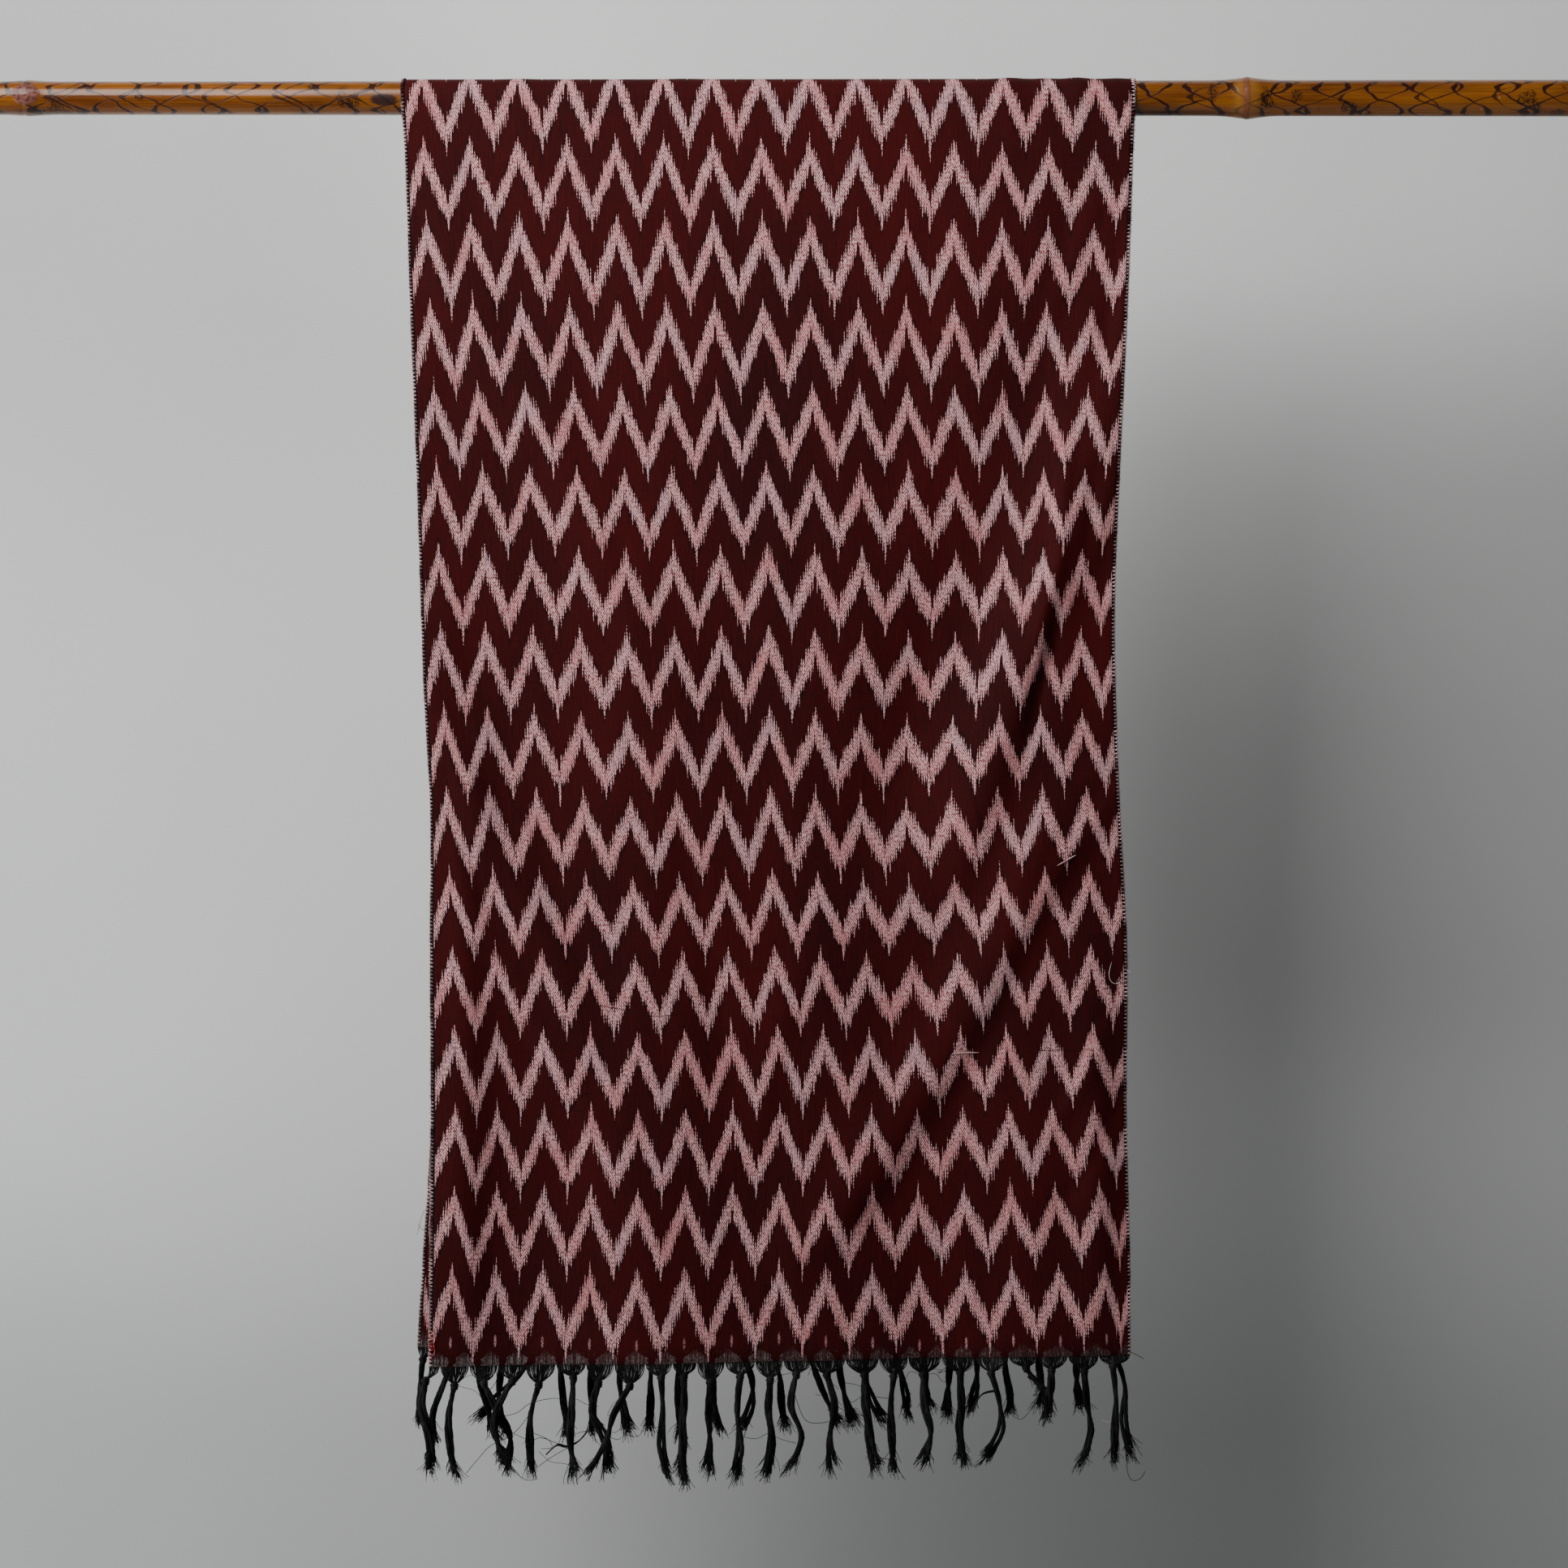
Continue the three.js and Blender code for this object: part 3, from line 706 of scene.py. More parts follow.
def acrossOnFront(side, down):
    # the cloth is taken up unevenly, so the warp is placed between its measured lines
    u = (side + 1) / 2 * cloth["width"]
    peaks = [0, 1, 7, 12, 14]
    knots = [0] + [cloth["firstPeak"] + peak * cloth["repeat"] for peak in peaks] + [cloth["width"]]
    names = ["left"] + [f"peak{peak}" for peak in peaks] + ["right"]
    lines = [readTable(warpLines, name, down) for name in names]
    across = np.zeros(np.broadcast(u, down).shape)
    for i in range(len(knots) - 1):
        share = (u - knots[i]) / (knots[i + 1] - knots[i])
        piece = lines[i] + share * (lines[i + 1] - lines[i])
        inside = (u >= knots[i]) & (u <= knots[i + 1])
        across = np.where(inside, piece, across)
    return across


def acrossOnBack(side, down):
    left = readTable(backOutline, "left", down)
    right = readTable(backOutline, "right", down)
    return left + (right - left) * (side + 1) / 2


def fallPoint(onFront, side, down):
    # the middle surface of one fall, in millimetres
    side, down = np.broadcast_arrays(np.asarray(side, float), np.asarray(down, float))
    across = acrossOnFront(side, down) if onFront else acrossOnBack(side, down)
    hem = frontHem if onFront else backHem
    lift = slightUnevenness(side, down)
    for fold in (frontFolds if onFront else backFolds):
        lift = lift + fold["lift"] * foldShare(fold, across, down)
    for crease in (frontCreases if onFront else backCreases):
        lift = lift + cloth["creaseDepth"] * crease["lift"] * foldShare(crease, across, down)
    for wave in (frontWaves if onFront else backWaves):
        phase = wave["count"] * (side + 1) / 2 + wave["start"]
        lift = lift + wave["lift"] * (down / hem["middle"]) * np.sin(2 * np.pi * phase)
    calm = smoothStep(down, cloth["seamDown"], cloth["calmDepth"])
    pucker = puckerLift(across) * (1 - smoothStep(down, 0, 60))
    depth = hangRadius(across) + calm * lift + pucker
    return across, (-depth if onFront else depth), -down


def arcPoint(side, share):
    # over the rod: share runs from 0 at the front to 1 at the back
    side, share = np.broadcast_arrays(np.asarray(side, float), np.asarray(share, float))
    front = acrossOnFront(side, np.zeros(side.shape))
    back = acrossOnBack(side, np.zeros(side.shape))
    across = front + (back - front) * share
    radius = hangRadius(across) + puckerLift(across)
    angle = np.pi * share
    return across, -radius * np.cos(angle), radius * np.sin(angle)


def rowNumber(down):
    # whole numbers at the measured rows of peaks, on past both ends at the usual pitch
    depths = np.array(rowDepths)
    numbers = np.arange(len(depths))
    inside = np.interp(down, depths, numbers)
    above = (down - depths[0]) / cloth["rowPitch"]
    below = numbers[-1] + (down - depths[-1]) / cloth["rowPitch"]
    return np.where(down < depths[0], above, np.where(down > depths[-1], below, inside))


def sagAlong(kind, repeat, down):
    # from one place to the next, counted in repeats from the first peak
    places = sagPlaces[kind]
    depths = [row["down"] for row in patternSag]
    lines = [np.interp(down, depths, [row[kind][i] for row in patternSag]) for i in range(len(places))]
    sag = lines[0]
    for i in range(1, len(places)):
        share = np.clip((repeat - places[i - 1]) / (places[i] - places[i - 1]), 0, 1)
        sag = sag + share * (lines[i] - lines[i - 1])
    return sag


def patternDroop(side, down):
    # the rows waver, and the valleys rise towards the lower right
    repeat = ((side + 1) / 2 * cloth["width"] - cloth["firstPeak"]) / cloth["repeat"]
    towardValley = 2 * np.abs(repeat - np.round(repeat))
    peaks, valleys = sagAlong("peaks", repeat, down), sagAlong("valleys", repeat, down)
    beside = 3.6 * np.exp(-((side + 1) / 0.06) ** 1.5)
    return beside + peaks + (valleys - peaks) * towardValley


def clothRows():
    # one row of the sheet for each station: its points, its distance along the cloth, its pattern row
    side = np.linspace(-1, 1, cloth["columns"] + 1)
    arc = arcLength()
    rows = []
    for j in range(cloth["frontRows"]):
        share = j / cloth["frontRows"]
        down = hemDown(frontHem, side) * (1 - share)
        along = frontHem["middle"] * share
        rows.append((fallPoint(True, side, down), along, rowNumber(down - patternDroop(side, down))))
    for j in range(cloth["arcRows"] + 1):
        share = j / cloth["arcRows"]
        past = np.full(side.shape, -share * arc)
        rows.append((arcPoint(side, share), frontHem["middle"] + share * arc,
                     rowNumber(past - patternDroop(side, past * 0))))
    for j in range(1, cloth["backRows"] + 1):
        share = j / cloth["backRows"]
        down = hemDown(backHem, side) * share
        past = -arc - down
        rows.append((fallPoint(False, side, down), frontHem["middle"] + arc + backHem["middle"] * share,
                     rowNumber(past - patternDroop(side, down * 0))))
    return side, rows


def makeStole():
    side, rows = clothRows()
    points = []
    for (x, y, z), _, _ in rows:
        points.extend(zip(x * mm, y * mm, z * mm))
    wide = len(side)
    faces = []
    for j in range(len(rows) - 1):
        for i in range(wide - 1):
            a = j * wide + i
            faces.append((a, a + 1, a + wide + 1, a + wide))
    mesh = bpy.data.meshes.new("stole")
    mesh.from_pydata(points, [], faces)
    weave = makeIkatWeave()
    mesh.materials.append(makeIkatCotton("ikatCotton", weave, False))
    mesh.materials.append(makeIkatCotton("sheerHemCotton", weave, True))
    for face in mesh.polygons:
        along = rows[face.index // (wide - 1)][1]
        face.material_index = int(min(along, flatLength() - along) < cloth["sheerHem"])
    across = (side + 1) / 2 * cloth["width"]
    repeatX = (across - cloth["firstPeak"]) / cloth["repeat"]
    clothMap = mesh.uv_layers.new(name="clothMap")
    ikatMap = mesh.uv_layers.new(name="ikatMap")
    for loop in mesh.loops:
        j, i = divmod(loop.vertex_index, wide)
        clothMap.data[loop.index].uv = (across[i] * mm, rows[j][1] * mm)
        ikatMap.data[loop.index].uv = (repeatX[i], rows[j][2][i])
    stole = bpy.data.objects.new("stole", mesh)
    bpy.context.collection.objects.link(stole)
    shell = stole.modifiers.new("thickness", "SOLIDIFY")
    shell.thickness = cloth["shell"] * mm
    shell.offset = 0
    applyModifiers(stole)
    selectOnly(stole)
    bpy.ops.object.shade_smooth()
    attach(stole, "root")
    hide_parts("front_fall", "over_rod", "back_fall")
    print("stage: stole woven,", len(stole.data.polygons), "faces")
    return stole


# threads: many tapered splines in one curve object, then made a mesh

def addSpline(curve, points, radii, cyclic=False):
    spline = curve.splines.new("POLY")
    spline.points.add(len(points) - 1)
    for item, point, radius in zip(spline.points, points, radii):
        item.co = (point[0] * mm, point[1] * mm, point[2] * mm, 1)
        item.radius = radius
    spline.use_cyclic_u = cyclic


def startThreads(name):
    curve = bpy.data.curves.new(name, "CURVE")
    curve.dimensions = "3D"
    curve.bevel_depth = mm
    curve.bevel_resolution = 0
    curve.use_fill_caps = True
    return curve


def finishThreads(curve, material):
    threads = bpy.data.objects.new(curve.name, curve)
    bpy.context.collection.objects.link(threads)
    selectOnly(threads)
    bpy.ops.object.convert(target="MESH")
    threads = bpy.context.object
    bpy.ops.object.shade_smooth()
    threads.data.materials.clear()
    threads.data.materials.append(material)
    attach(threads, "root")
    return threads


def smoothWay(points, steps):
    # a curve through the points
    way = []
    last = len(points) - 1
    for i in range(last):
        p0 = points[max(i - 1, 0)]
        p1, p2 = points[i], points[i + 1]
        p3 = points[min(i + 2, last)]
        for k in range(steps):
            t = k / steps
            way.append(0.5 * (2 * p1 + (p2 - p0) * t + (2 * p0 - 5 * p1 + 4 * p2 - p3) * t**2
                              + (3 * p1 - p0 - 3 * p2 + p3) * t**3))
    way.append(points[last].copy())
    return way


def makeThreadCotton(name, colour, paler, palerShare, marks=None):
    material, wires, shader = startMaterial(name)
    place = wires.tree.nodes.new("ShaderNodeTexCoord")
    x, y, z = wires.split(place.outputs["Object"])
    streak, cell, relief = useThreadGrain(wires, wires.plus(x, y), z)
    patches = wires.noise((x, y, z), [60] * 3, 0, 3, 0.6)
    patches = wires.plus(patches, wires.times(streak, 0.25))
    share = wires.step(patches, 0.80 - palerShare, 0.86 - palerShare * 0.6)
    if marks:
        marked = wires.tree.nodes.new("ShaderNodeAttribute")
        marked.attribute_name = marks
        stretches = wires.times(marked.outputs["Fac"], wires.step(cell, 0.05, 0.5))
        share = wires.most(wires.times(share, 0.4), stretches)
    wires.feed(shader.inputs["Base Color"], wires.mix(share, srgb(*colour), srgb(*paler)))
    shader.inputs["Roughness"].default_value = 0.7
    shader.inputs["Sheen Weight"].default_value = 0.02
    shader.inputs["Specular IOR Level"].default_value = 0.2
    wires.feed(shader.inputs["Normal"], wires.bump(wires.plus(relief, cell), 0.5, 0.0002))
    return material


tassels = {
    "knotRadius": 2.6,
    "lockSpread": 1.4,
    "lockTurns": 0.75,
    "turnStep": 0.13,
    "threeLockRoom": 1.18,
    "tipSpread": 0.5,
    "shorterLock": 0.07,
    "crossingRoom": 4.6,
    "yarns": 11,                 # in one lock
    "yarnRadius": 0.62,
    "yarnRing": 1.4,
    "yarnTurns": 1.6,
    "fanPitch": 0.42,            # between the warp ends at the hem
    "fanRadius": 0.3,
    "brushThreads": 24,          # in the frayed tip of a lock
    "brushLength": 19,
    "brushRadius": 0.23,
    "colour": (3, 3, 4),
    # the paler patches on the black cotton are painted glints, a painted highlight on the warp ends
    "paler": (30, 27, 27),
}
# knot place, how far under the hem, how far the locks hang, and their sway at each third
frontTassels = [
    (-256.5, 9, 70, (-3, 3, 3)), (-235, 13, 68, (-4, -3, 1)), (-213, 12, 66, (10, 20, 15)),
    (-192, 11, 65, (-11, -12, -4)), (-172, 14, 68, (-6, -7, -6)), (-146, 9, 74, (-1, -2, 1)),
    (-127, 13, 68, (-5, 4, 8)), (-103.5, 15, 65, (-12, -18, -30)), (-80, 9, 76, (1, 0, 4)),
    (-63, 9, 80, (0, -1, -1)), (-43.5, 14, 70, (-1, 0, -2)), (-21, 10, 77, (-2, 0, -4)),
    (1.5, 13, 74, (-1, 1, -2)), (21, 9, 71, (-4, 4, -4)), (44, 10, 73, (6, 2, 4)),
    (72, 11, 71, (1, 4, 8)), (94, 12, 73, (-2, -1, 0)), (116, 12, 67, (1, 6, -1)),
    (144, 11, 70, (1, 0, 2)), (167, 11, 65, (6, 7, -5)), (193, 7, 18, (4, 9, 13)),
    (212, 9, 36, (-1, -3, -4)), (236.5, 10, 72, (2, 5, -2)), (258, 7, 71, (2, 1, 1)),
]
backTassels = [
    (-261, 8, 50, (-2, -2, -2)), (-239, 9, 62, (-7, -14, -13)), (-220, 11, 58, (3, 8, 12)),
    (-201, 9, 56, (-2, -2, 0)), (-179, 10, 46, (-12, -27, -40)), (-158, 10, 58, (2, 4, 6)),
    (-133, 11, 57, (-1, -1, 2)), (-111, 9, 57, (-1, 2, 6)), (-88, 10, 54, (-1, -1, -2)),
    (-67, 10, 62, (-1, 0, 1)), (-43, 11, 55, (1, 3, 6)), (-18, 10, 54, (6, 5, -2)),
    (5, 9, 57, (4, 5, 8)), (32, 10, 52, (6, 13, 22)), (53, 10, 53, (2, 6, 12)),
    (74, 9, 50, (0, 4, 13)), (97, 11, 46, (4, 7, 9)), (118, 10, 38, (0, 1, 4)),
    (137, 10, 48, (0, -1, -2)), (157, 9, 44, (1, -1, -5)), (179, 10, 46, (1, 4, 4)),
    (205, 9, 40, (0, 2, 1)), (233, 10, 42, (0, 1, 5)), (261, 8, 78, (8, 7, 12)),
]


def hemLine(onFront):
    side = np.linspace(-1, 1, 401)
    return fallPoint(onFront, side, hemDown(frontHem if onFront else backHem, side))


def hemPoint(line, across):
    # the point of a hem at some distance across
    xs, ys, zs = line
    held = min(max(across, xs[0]), xs[-1])
    return Vector((held, float(np.interp(held, xs, ys)), float(np.interp(held, xs, zs))))


def addFan(curve, line, start, end, knot, dice):
    # warp ends that leave the hem side by side and draw together into a bowl above the knot
    count = max(int((end - start) / tassels["fanPitch"]), 6)
    for k in range(count):
        spot = start + (end - start) * (k + 0.5 + dice.uniform(-0.3, 0.3)) / count
        root = hemPoint(line, spot)
        aim = knot + Vector((dice.uniform(-0.9, 0.9), dice.uniform(-0.9, 0.9), dice.uniform(0.3, 1.4)))
        slack = dice.uniform(0.85, 1.3) * (1.3 if dice.random() < 0.12 else 1)
        points, radii = [], []
        for step in range(6):
            t = step / 5
            inward = t ** (1.85 * slack)
            drop = t ** 0.8
            point = Vector((root.x + (aim.x - root.x) * inward,
                            root.y + (aim.y - root.y) * t + 0.5 * math.sin(math.pi * t) * dice.uniform(-1, 1),
                            root.z + 1.2 * (1 - t) + (aim.z - root.z) * drop))
            points.append(point)
            radii.append(tassels["fanRadius"] * dice.uniform(0.8, 1.15))
        addSpline(curve, points, radii)


def addKnot(curve, knot, dice):
    # the overhand knot: a few crossing turns of the bundle about its own middle
    tilt = dice.uniform(-0.35, 0.35)
    for turn in range(4):
        lean = tilt + (turn - 1.5) * 0.42
        ring = tassels["knotRadius"] * (0.92 if turn in (1, 2) else 0.74)
        points, radii = [], []
        for step in range(13):
            angle = 2 * math.pi * step / 12 + turn * 1.1
            rise = (turn - 1.5) * 1.15 + lean * math.cos(angle)
            points.append(knot + Vector((ring * math.cos(angle), ring * math.sin(angle), rise)))
            radii.append(1.05 + 0.12 * math.sin(3 * angle))
        addSpline(curve, points, radii)
    points = [knot + Vector((0, 0, height)) for height in (3.2, 1.6, 0, -1.6, -3.4)]
    addSpline(curve, points, [1.3, 2.3, 2.6, 2.3, 1.5])


def addLock(curve, way, dice):
    # yarns laid round each other, that part into a brush of threads at the cut end
    last = len(way) - 1
    length = sum((way[i + 1] - way[i]).length for i in range(last))
    brushShare = 1 - min(tassels["brushLength"] / length, 0.45)
    handed = 1 if dice.random() < 0.5 else -1
    turns = tassels["yarnTurns"] * dice.uniform(0.5, 1.3)
    for yarn in range(tassels["yarns"]):
        inner = yarn < 3
        ring = tassels["yarnRing"] * (0.42 if inner else 1.0) * dice.uniform(0.84, 1.16)
        phase = 2 * math.pi * yarn / (3 if inner else tassels["yarns"] - 3) + dice.uniform(-0.25, 0.25)
        shorter = dice.choice((0, 0, 1, 1, 2))
        flare = dice.uniform(0.2, 1.2)
        points, radii = [], []
        for step in range(last + 1 - shorter):
            share = step / last
            turn = phase + handed * 2 * math.pi * turns * share
            parted = max(share - brushShare, 0) / (1 - brushShare)
            loose = 1 - 0.2 * math.sin(math.pi * min(share * 1.1, 1)) + flare * parted**1.5
            offset = Vector((math.cos(turn), math.sin(turn), 0)) * ring * loose
            points.append(way[step] + offset)
            radii.append(tassels["yarnRadius"] * (1 - 0.45 * parted))
        addSpline(curve, points, radii)
    tip, before = way[last], way[last - 2]
    fall = (tip - before).normalized()
    for _ in range(tassels["brushThreads"]):
        reach = tassels["brushLength"] * dice.uniform(0.55, 1.15)
        around = dice.uniform(0, 2 * math.pi)
        start = 1.3 * math.sqrt(dice.random())
        wide = start + dice.uniform(0.8, 5.2) * (1.7 if dice.random() < 0.16 else 1)
        curl = dice.uniform(-2.4, 2.4)
        points, radii = [], []
        for step in range(5):
            share = step / 4
            ring = start + (wide - start) * share**1.6
            turn = around + curl * share
            points.append(tip + fall * (reach * share - 0.82 * tassels["brushLength"])
                          + Vector((ring * math.cos(turn), ring * math.sin(turn), 0)))
            radii.append(tassels["brushRadius"] * (1.25 - 0.5 * share))
        addSpline(curve, points, radii)


def lockWay(knot, hang, sway, lock, locks, index):
    room = tassels["crossingRoom"] * (1 if index % 2 == 0 else -1)
    points = []
    for step, shift in enumerate((0, *sway)):
        share = step / len(sway)
        turn = 2 * math.pi * (lock / locks + tassels["lockTurns"] * share + index * tassels["turnStep"])
        spread = tassels["lockSpread"] * (tassels["threeLockRoom"] if locks == 3 else 1)
        spread *= 1 + tassels["tipSpread"] * share**2
        if step == 0:
            spread *= 0.5
        below = hang * share * (1 - tassels["shorterLock"] * lock)
        points.append(knot + Vector((shift + spread * math.cos(turn),
                                     room * min(2 * share, 1) + spread * math.sin(turn), -below)))
    return smoothWay(points, 5)


def addStrayThreads(curve, line, rows, count, lowest, dice):
    # single threads that worked loose, curled between the tassels
    for _ in range(count):
        across, knot, hang, sway = dice.choice(rows[1:-1])
        start = hemPoint(line, across) + Vector((0, 0, -knot - hang * dice.uniform(0.15, 0.8)))
        heading = dice.choice((-1, 1))
        points = [start]
        for _ in range(dice.choice((3, 4, 4, 5))):
            stride = Vector((heading * dice.uniform(3, 12), dice.uniform(-2, 2), dice.uniform(-10, 5)))
            points.append(points[-1] + stride)
            if dice.random() < 0.18:
                heading = -heading
        way = smoothWay([Vector((p.x, p.y, max(p.z, lowest))) for p in points], 5)
        addSpline(curve, way, [0.18] * len(way))


# across and down of the loose threads that show between the front tassels
frontStrays = [
    [(-214, 976), (-204, 964), (-204, 955)],
    [(-199, 990), (-188, 987), (-178, 980), (-160, 976), (-150, 978)],
    [(-196, 1006), (-188, 1000), (-180, 990)],
    [(-226, 1032), (-216, 1020), (-207, 1011), (-190, 1004)],
    [(-196, 1026), (-183, 1037), (-174, 1037)],
    [(-173, 1028), (-162, 1020), (-150, 1013)],
    [(-177, 1002), (-165, 1007), (-162, 1013), (-170, 1014)],
    [(-182, 1013), (-172, 1006), (-160, 1009), (-149, 1014)],
    [(19, 970), (25, 987), (30, 993), (38, 994), (45, 993)],
    [(48, 979), (56, 984), (72, 989)],
    [(74, 974), (90, 976)],
    [(80, 1020), (92, 1022)],
    [(267, 1004), (268, 1023), (270, 1034), (274, 1037), (279, 1035), (282, 1030)],
    [(264, 938), (276, 943), (281, 946)],
]
# thicker strands that lie from one tassel to its neighbour
frontLinks = [
    [(-166, 1018), (-158, 1011), (-151, 1012), (-142, 1008), (-135, 1000)],
    [(153, 984), (160, 973), (170, 970)],
]


def addHandLaid(curve, ways, line, radius):
    for way in ways:
        points = []
        for across, down in way:
            depth = hemPoint(line, across).y - 1.5
            points.append(Vector((across, depth, -down)))
        points = smoothWay(points, 5)
        addSpline(curve, points, [radius] * len(points))


def makeFringe(name, onFront, rows, mostLocks, seed, material):
    # every third tassel has the most locks, the others two
    dice = random.Random(seed)
    curve = startThreads(name)
    line = hemLine(onFront)
    leftEdge, rightEdge = float(line[0][0]), float(line[0][-1])
    for index, (across, drop, hang, sway) in enumerate(rows):
        start = leftEdge if index == 0 else (rows[index - 1][0] + across) / 2
        end = rightEdge if index == len(rows) - 1 else (across + rows[index + 1][0]) / 2
        knot = hemPoint(line, across)
        knot.x = across
        knot.z -= drop
        addFan(curve, line, start + 0.3, end - 0.3, knot, dice)
        addKnot(curve, knot, dice)
        locks = mostLocks if index % 3 == 0 else 2
        for lock in range(locks):
            addLock(curve, lockWay(knot, hang, sway, lock, locks, index), dice)
    if onFront:
        addHandLaid(curve, frontStrays, line, 0.22)
        for shift in (-0.5, 0.0, 0.5):
            ways = [[(across + shift, down - shift) for across, down in way] for way in frontLinks]
            addHandLaid(curve, ways, line, 0.5)
        addStrayThreads(curve, line, rows, 8, -1043, dice)
    else:
        addStrayThreads(curve, line, rows, 12, -1010, dice)
    fringe = finishThreads(curve, material)
    print("stage:", name, len(fringe.data.polygons), "faces")
    return fringe


# overcast stitches down both selvedges

stitching = {
    "pitch": 2.8,
    "reach": 2.1,                # in from the edge
    "proud": 0.3,
    "thread": 0.92,              # on the faces
    "overEdge": 0.5,
    "paleFrom": (0.85, 0.21),    # where a band of the pattern begins, in rows, at the left and right selvedge
    "paleLong": 0.4,
    "colour": (74, 20, 24),
    "paler": (250, 212, 214),
}


def lineAlongCloth(side, along):
    # points and outward normals at one place between the selvedges, down the whole cloth
    front, arc = frontHem["middle"], arcLength()
    onFront, onBack = along < front, along > front + arc
    onArc = ~(onFront | onBack)
    points, normals = np.zeros((len(along), 3)), np.zeros((len(along), 3))
    frontDown = hemDown(frontHem, side) * (1 - along[onFront] / front)
    backDown = hemDown(backHem, side) * (along[onBack] - front - arc) / backHem["middle"]
    share = (along[onArc] - front) / arc
    points[onFront] = np.transpose(fallPoint(True, side, frontDown))
    points[onArc] = np.transpose(arcPoint(side, share))
    points[onBack] = np.transpose(fallPoint(False, side, backDown))
    normals[onFront] = (0, -1, 0)
    normals[onArc, 1] = -np.cos(np.pi * share)
    normals[onArc, 2] = np.sin(np.pi * share)
    normals[onBack] = (0, 1, 0)
    return points, normals


def makeSelvedgeStitches(material):
    curve = startThreads("selvedgeStitches")
    dice = np.random.default_rng(41)
    count = int((flatLength() - 4) / stitching["pitch"])
    along = 2 + np.arange(4 * count) * stitching["pitch"] / 4
    rise = stitching["proud"] + cloth["shell"] / 2
    phase = np.arange(4 * count) % 4
    for side in (-1, 1):
        edge, normal = lineAlongCloth(side, along)
        within, _ = lineAlongCloth(side * (1 - 2 * stitching["reach"] / cloth["width"]), along)
        inward = (within - edge) / stitching["reach"]
        # over the edge, in on the face, over the edge again, in on the other face
        reach = np.where(phase % 2 == 0, -stitching["proud"] - 0.15, stitching["reach"])
        reach = reach + dice.uniform(-0.3, 0.3, len(along))
        lift = np.choose(phase, [0.0, rise, 0.0, -rise])
        points = edge + inward * reach[:, None] + normal * lift[:, None]
        radii = np.where(phase % 2 == 0, stitching["overEdge"], stitching["thread"])
        radii = radii * dice.uniform(0.8, 1.15, len(along))
        addSpline(curve, points, radii)
    stitches = finishThreads(curve, material)
    markPaleStretches(stitches.data)
    print("stage: selvedges overcast,", len(stitches.data.polygons), "faces")
    return stitches


def markPaleStretches(mesh):
    # the selvedge threads were dyed with the rest, so their stitches are pale once in each row
    places = np.array([vertex.co for vertex in mesh.vertices]) / mm
    down = np.where(places[:, 1] < 0, -places[:, 2], places[:, 2] - arcLength())
    left, right = stitching["paleFrom"]
    share = (rowNumber(down) - np.where(places[:, 0] < 0, left, right)) % 1
    long, soft = stitching["paleLong"], 0.04
    pale = smoothStep(share, 0, soft) * (1 - smoothStep(share, long - soft, long))
    marks = mesh.attributes.new("paleStretch", "FLOAT", "POINT")
    marks.data.foreach_set("value", pale)


# slubs, mending and loose threads on the front, as across and down of each

looseThreads = {
    "pinkSlubs": {
        "colour": (196, 138, 138), "paler": (224, 184, 182), "radius": 0.5, "proud": 0.5,
        "ways": [[(216, 577), (223, 573), (230, 569)], [(138, 717.5), (148, 717), (158, 717)],
                 [(236, 713.5), (249, 711.5)]],
    },
    "redMending": {
        "colour": (150, 14, 20), "paler": (232, 150, 150), "radius": 0.45, "proud": 0.6,
        "ways": [[(-253.5, 925), (-250.5, 927), (-253.8, 929), (-250.8, 931), (-254, 933), (-251, 935),
                  (-254.2, 937), (-250.6, 939), (-253.6, 941), (-251.5, 943.5), (-252.5, 948)],
                 [(-250.2, 926), (-249.6, 931), (-250, 936), (-249.4, 941), (-251.8, 945)]],
    },
    "darkPicks": {
        "colour": (20, 6, 8), "paler": (60, 26, 26), "radius": 0.16, "proud": 0.45,
        "ways": [[(-129, 681), (-113, 684), (-89, 689), (-74, 689), (-65, 687)],
                 [(-150, 763), (-143, 752), (-135, 747), (-126, 746)],
                 [(-148, 758), (-140, 760), (-134, 752), (-138, 748)],
                 [(158, 717), (210, 715), (237, 714)],
                 [(-263, 854), (-260, 842), (-257, 835), (-254, 833)],
                 [(-262, 845), (-258, 850), (-254, 846)]],
    },
    "whiteThreads": {
        "colour": (196, 190, 186), "paler": (240, 238, 234), "radius": 0.17, "proud": 0.8,
        "ways": [[(257, 649), (255, 658), (257, 664), (262, 665), (264, 662)], [(268, 655), (272, 657)],
                 [(249, 991), (253, 993), (257, 993)]],
    },
}


def frontDepth(across, down):
    # y of the front surface under a point
    sides = np.linspace(-1, 1, 161)
    xs, ys, _ = fallPoint(True, sides, np.full(sides.shape, float(min(down, frontHem["middle"]))))
    return float(np.interp(across, xs, ys))


def makeLooseThreads():
    pieces = []
    for name, kind in looseThreads.items():
        curve = startThreads(name)
        for way in kind["ways"]:
            rise = kind["proud"] + cloth["shell"] / 2
            points = [Vector((across, frontDepth(across, down) - rise, -down)) for across, down in way]
            points = smoothWay(points, 6)
            ends = [min(1, 0.35 + 0.65 * min(i, len(points) - 1 - i) / 3) for i in range(len(points))]
            addSpline(curve, points, [kind["radius"] * share for share in ends])
        material = makeThreadCotton(name + "Cotton", kind["colour"], kind["paler"], 0.3)
        pieces.append(finishThreads(curve, material))
    print("stage: loose threads laid")
    return pieces


# bamboo rod

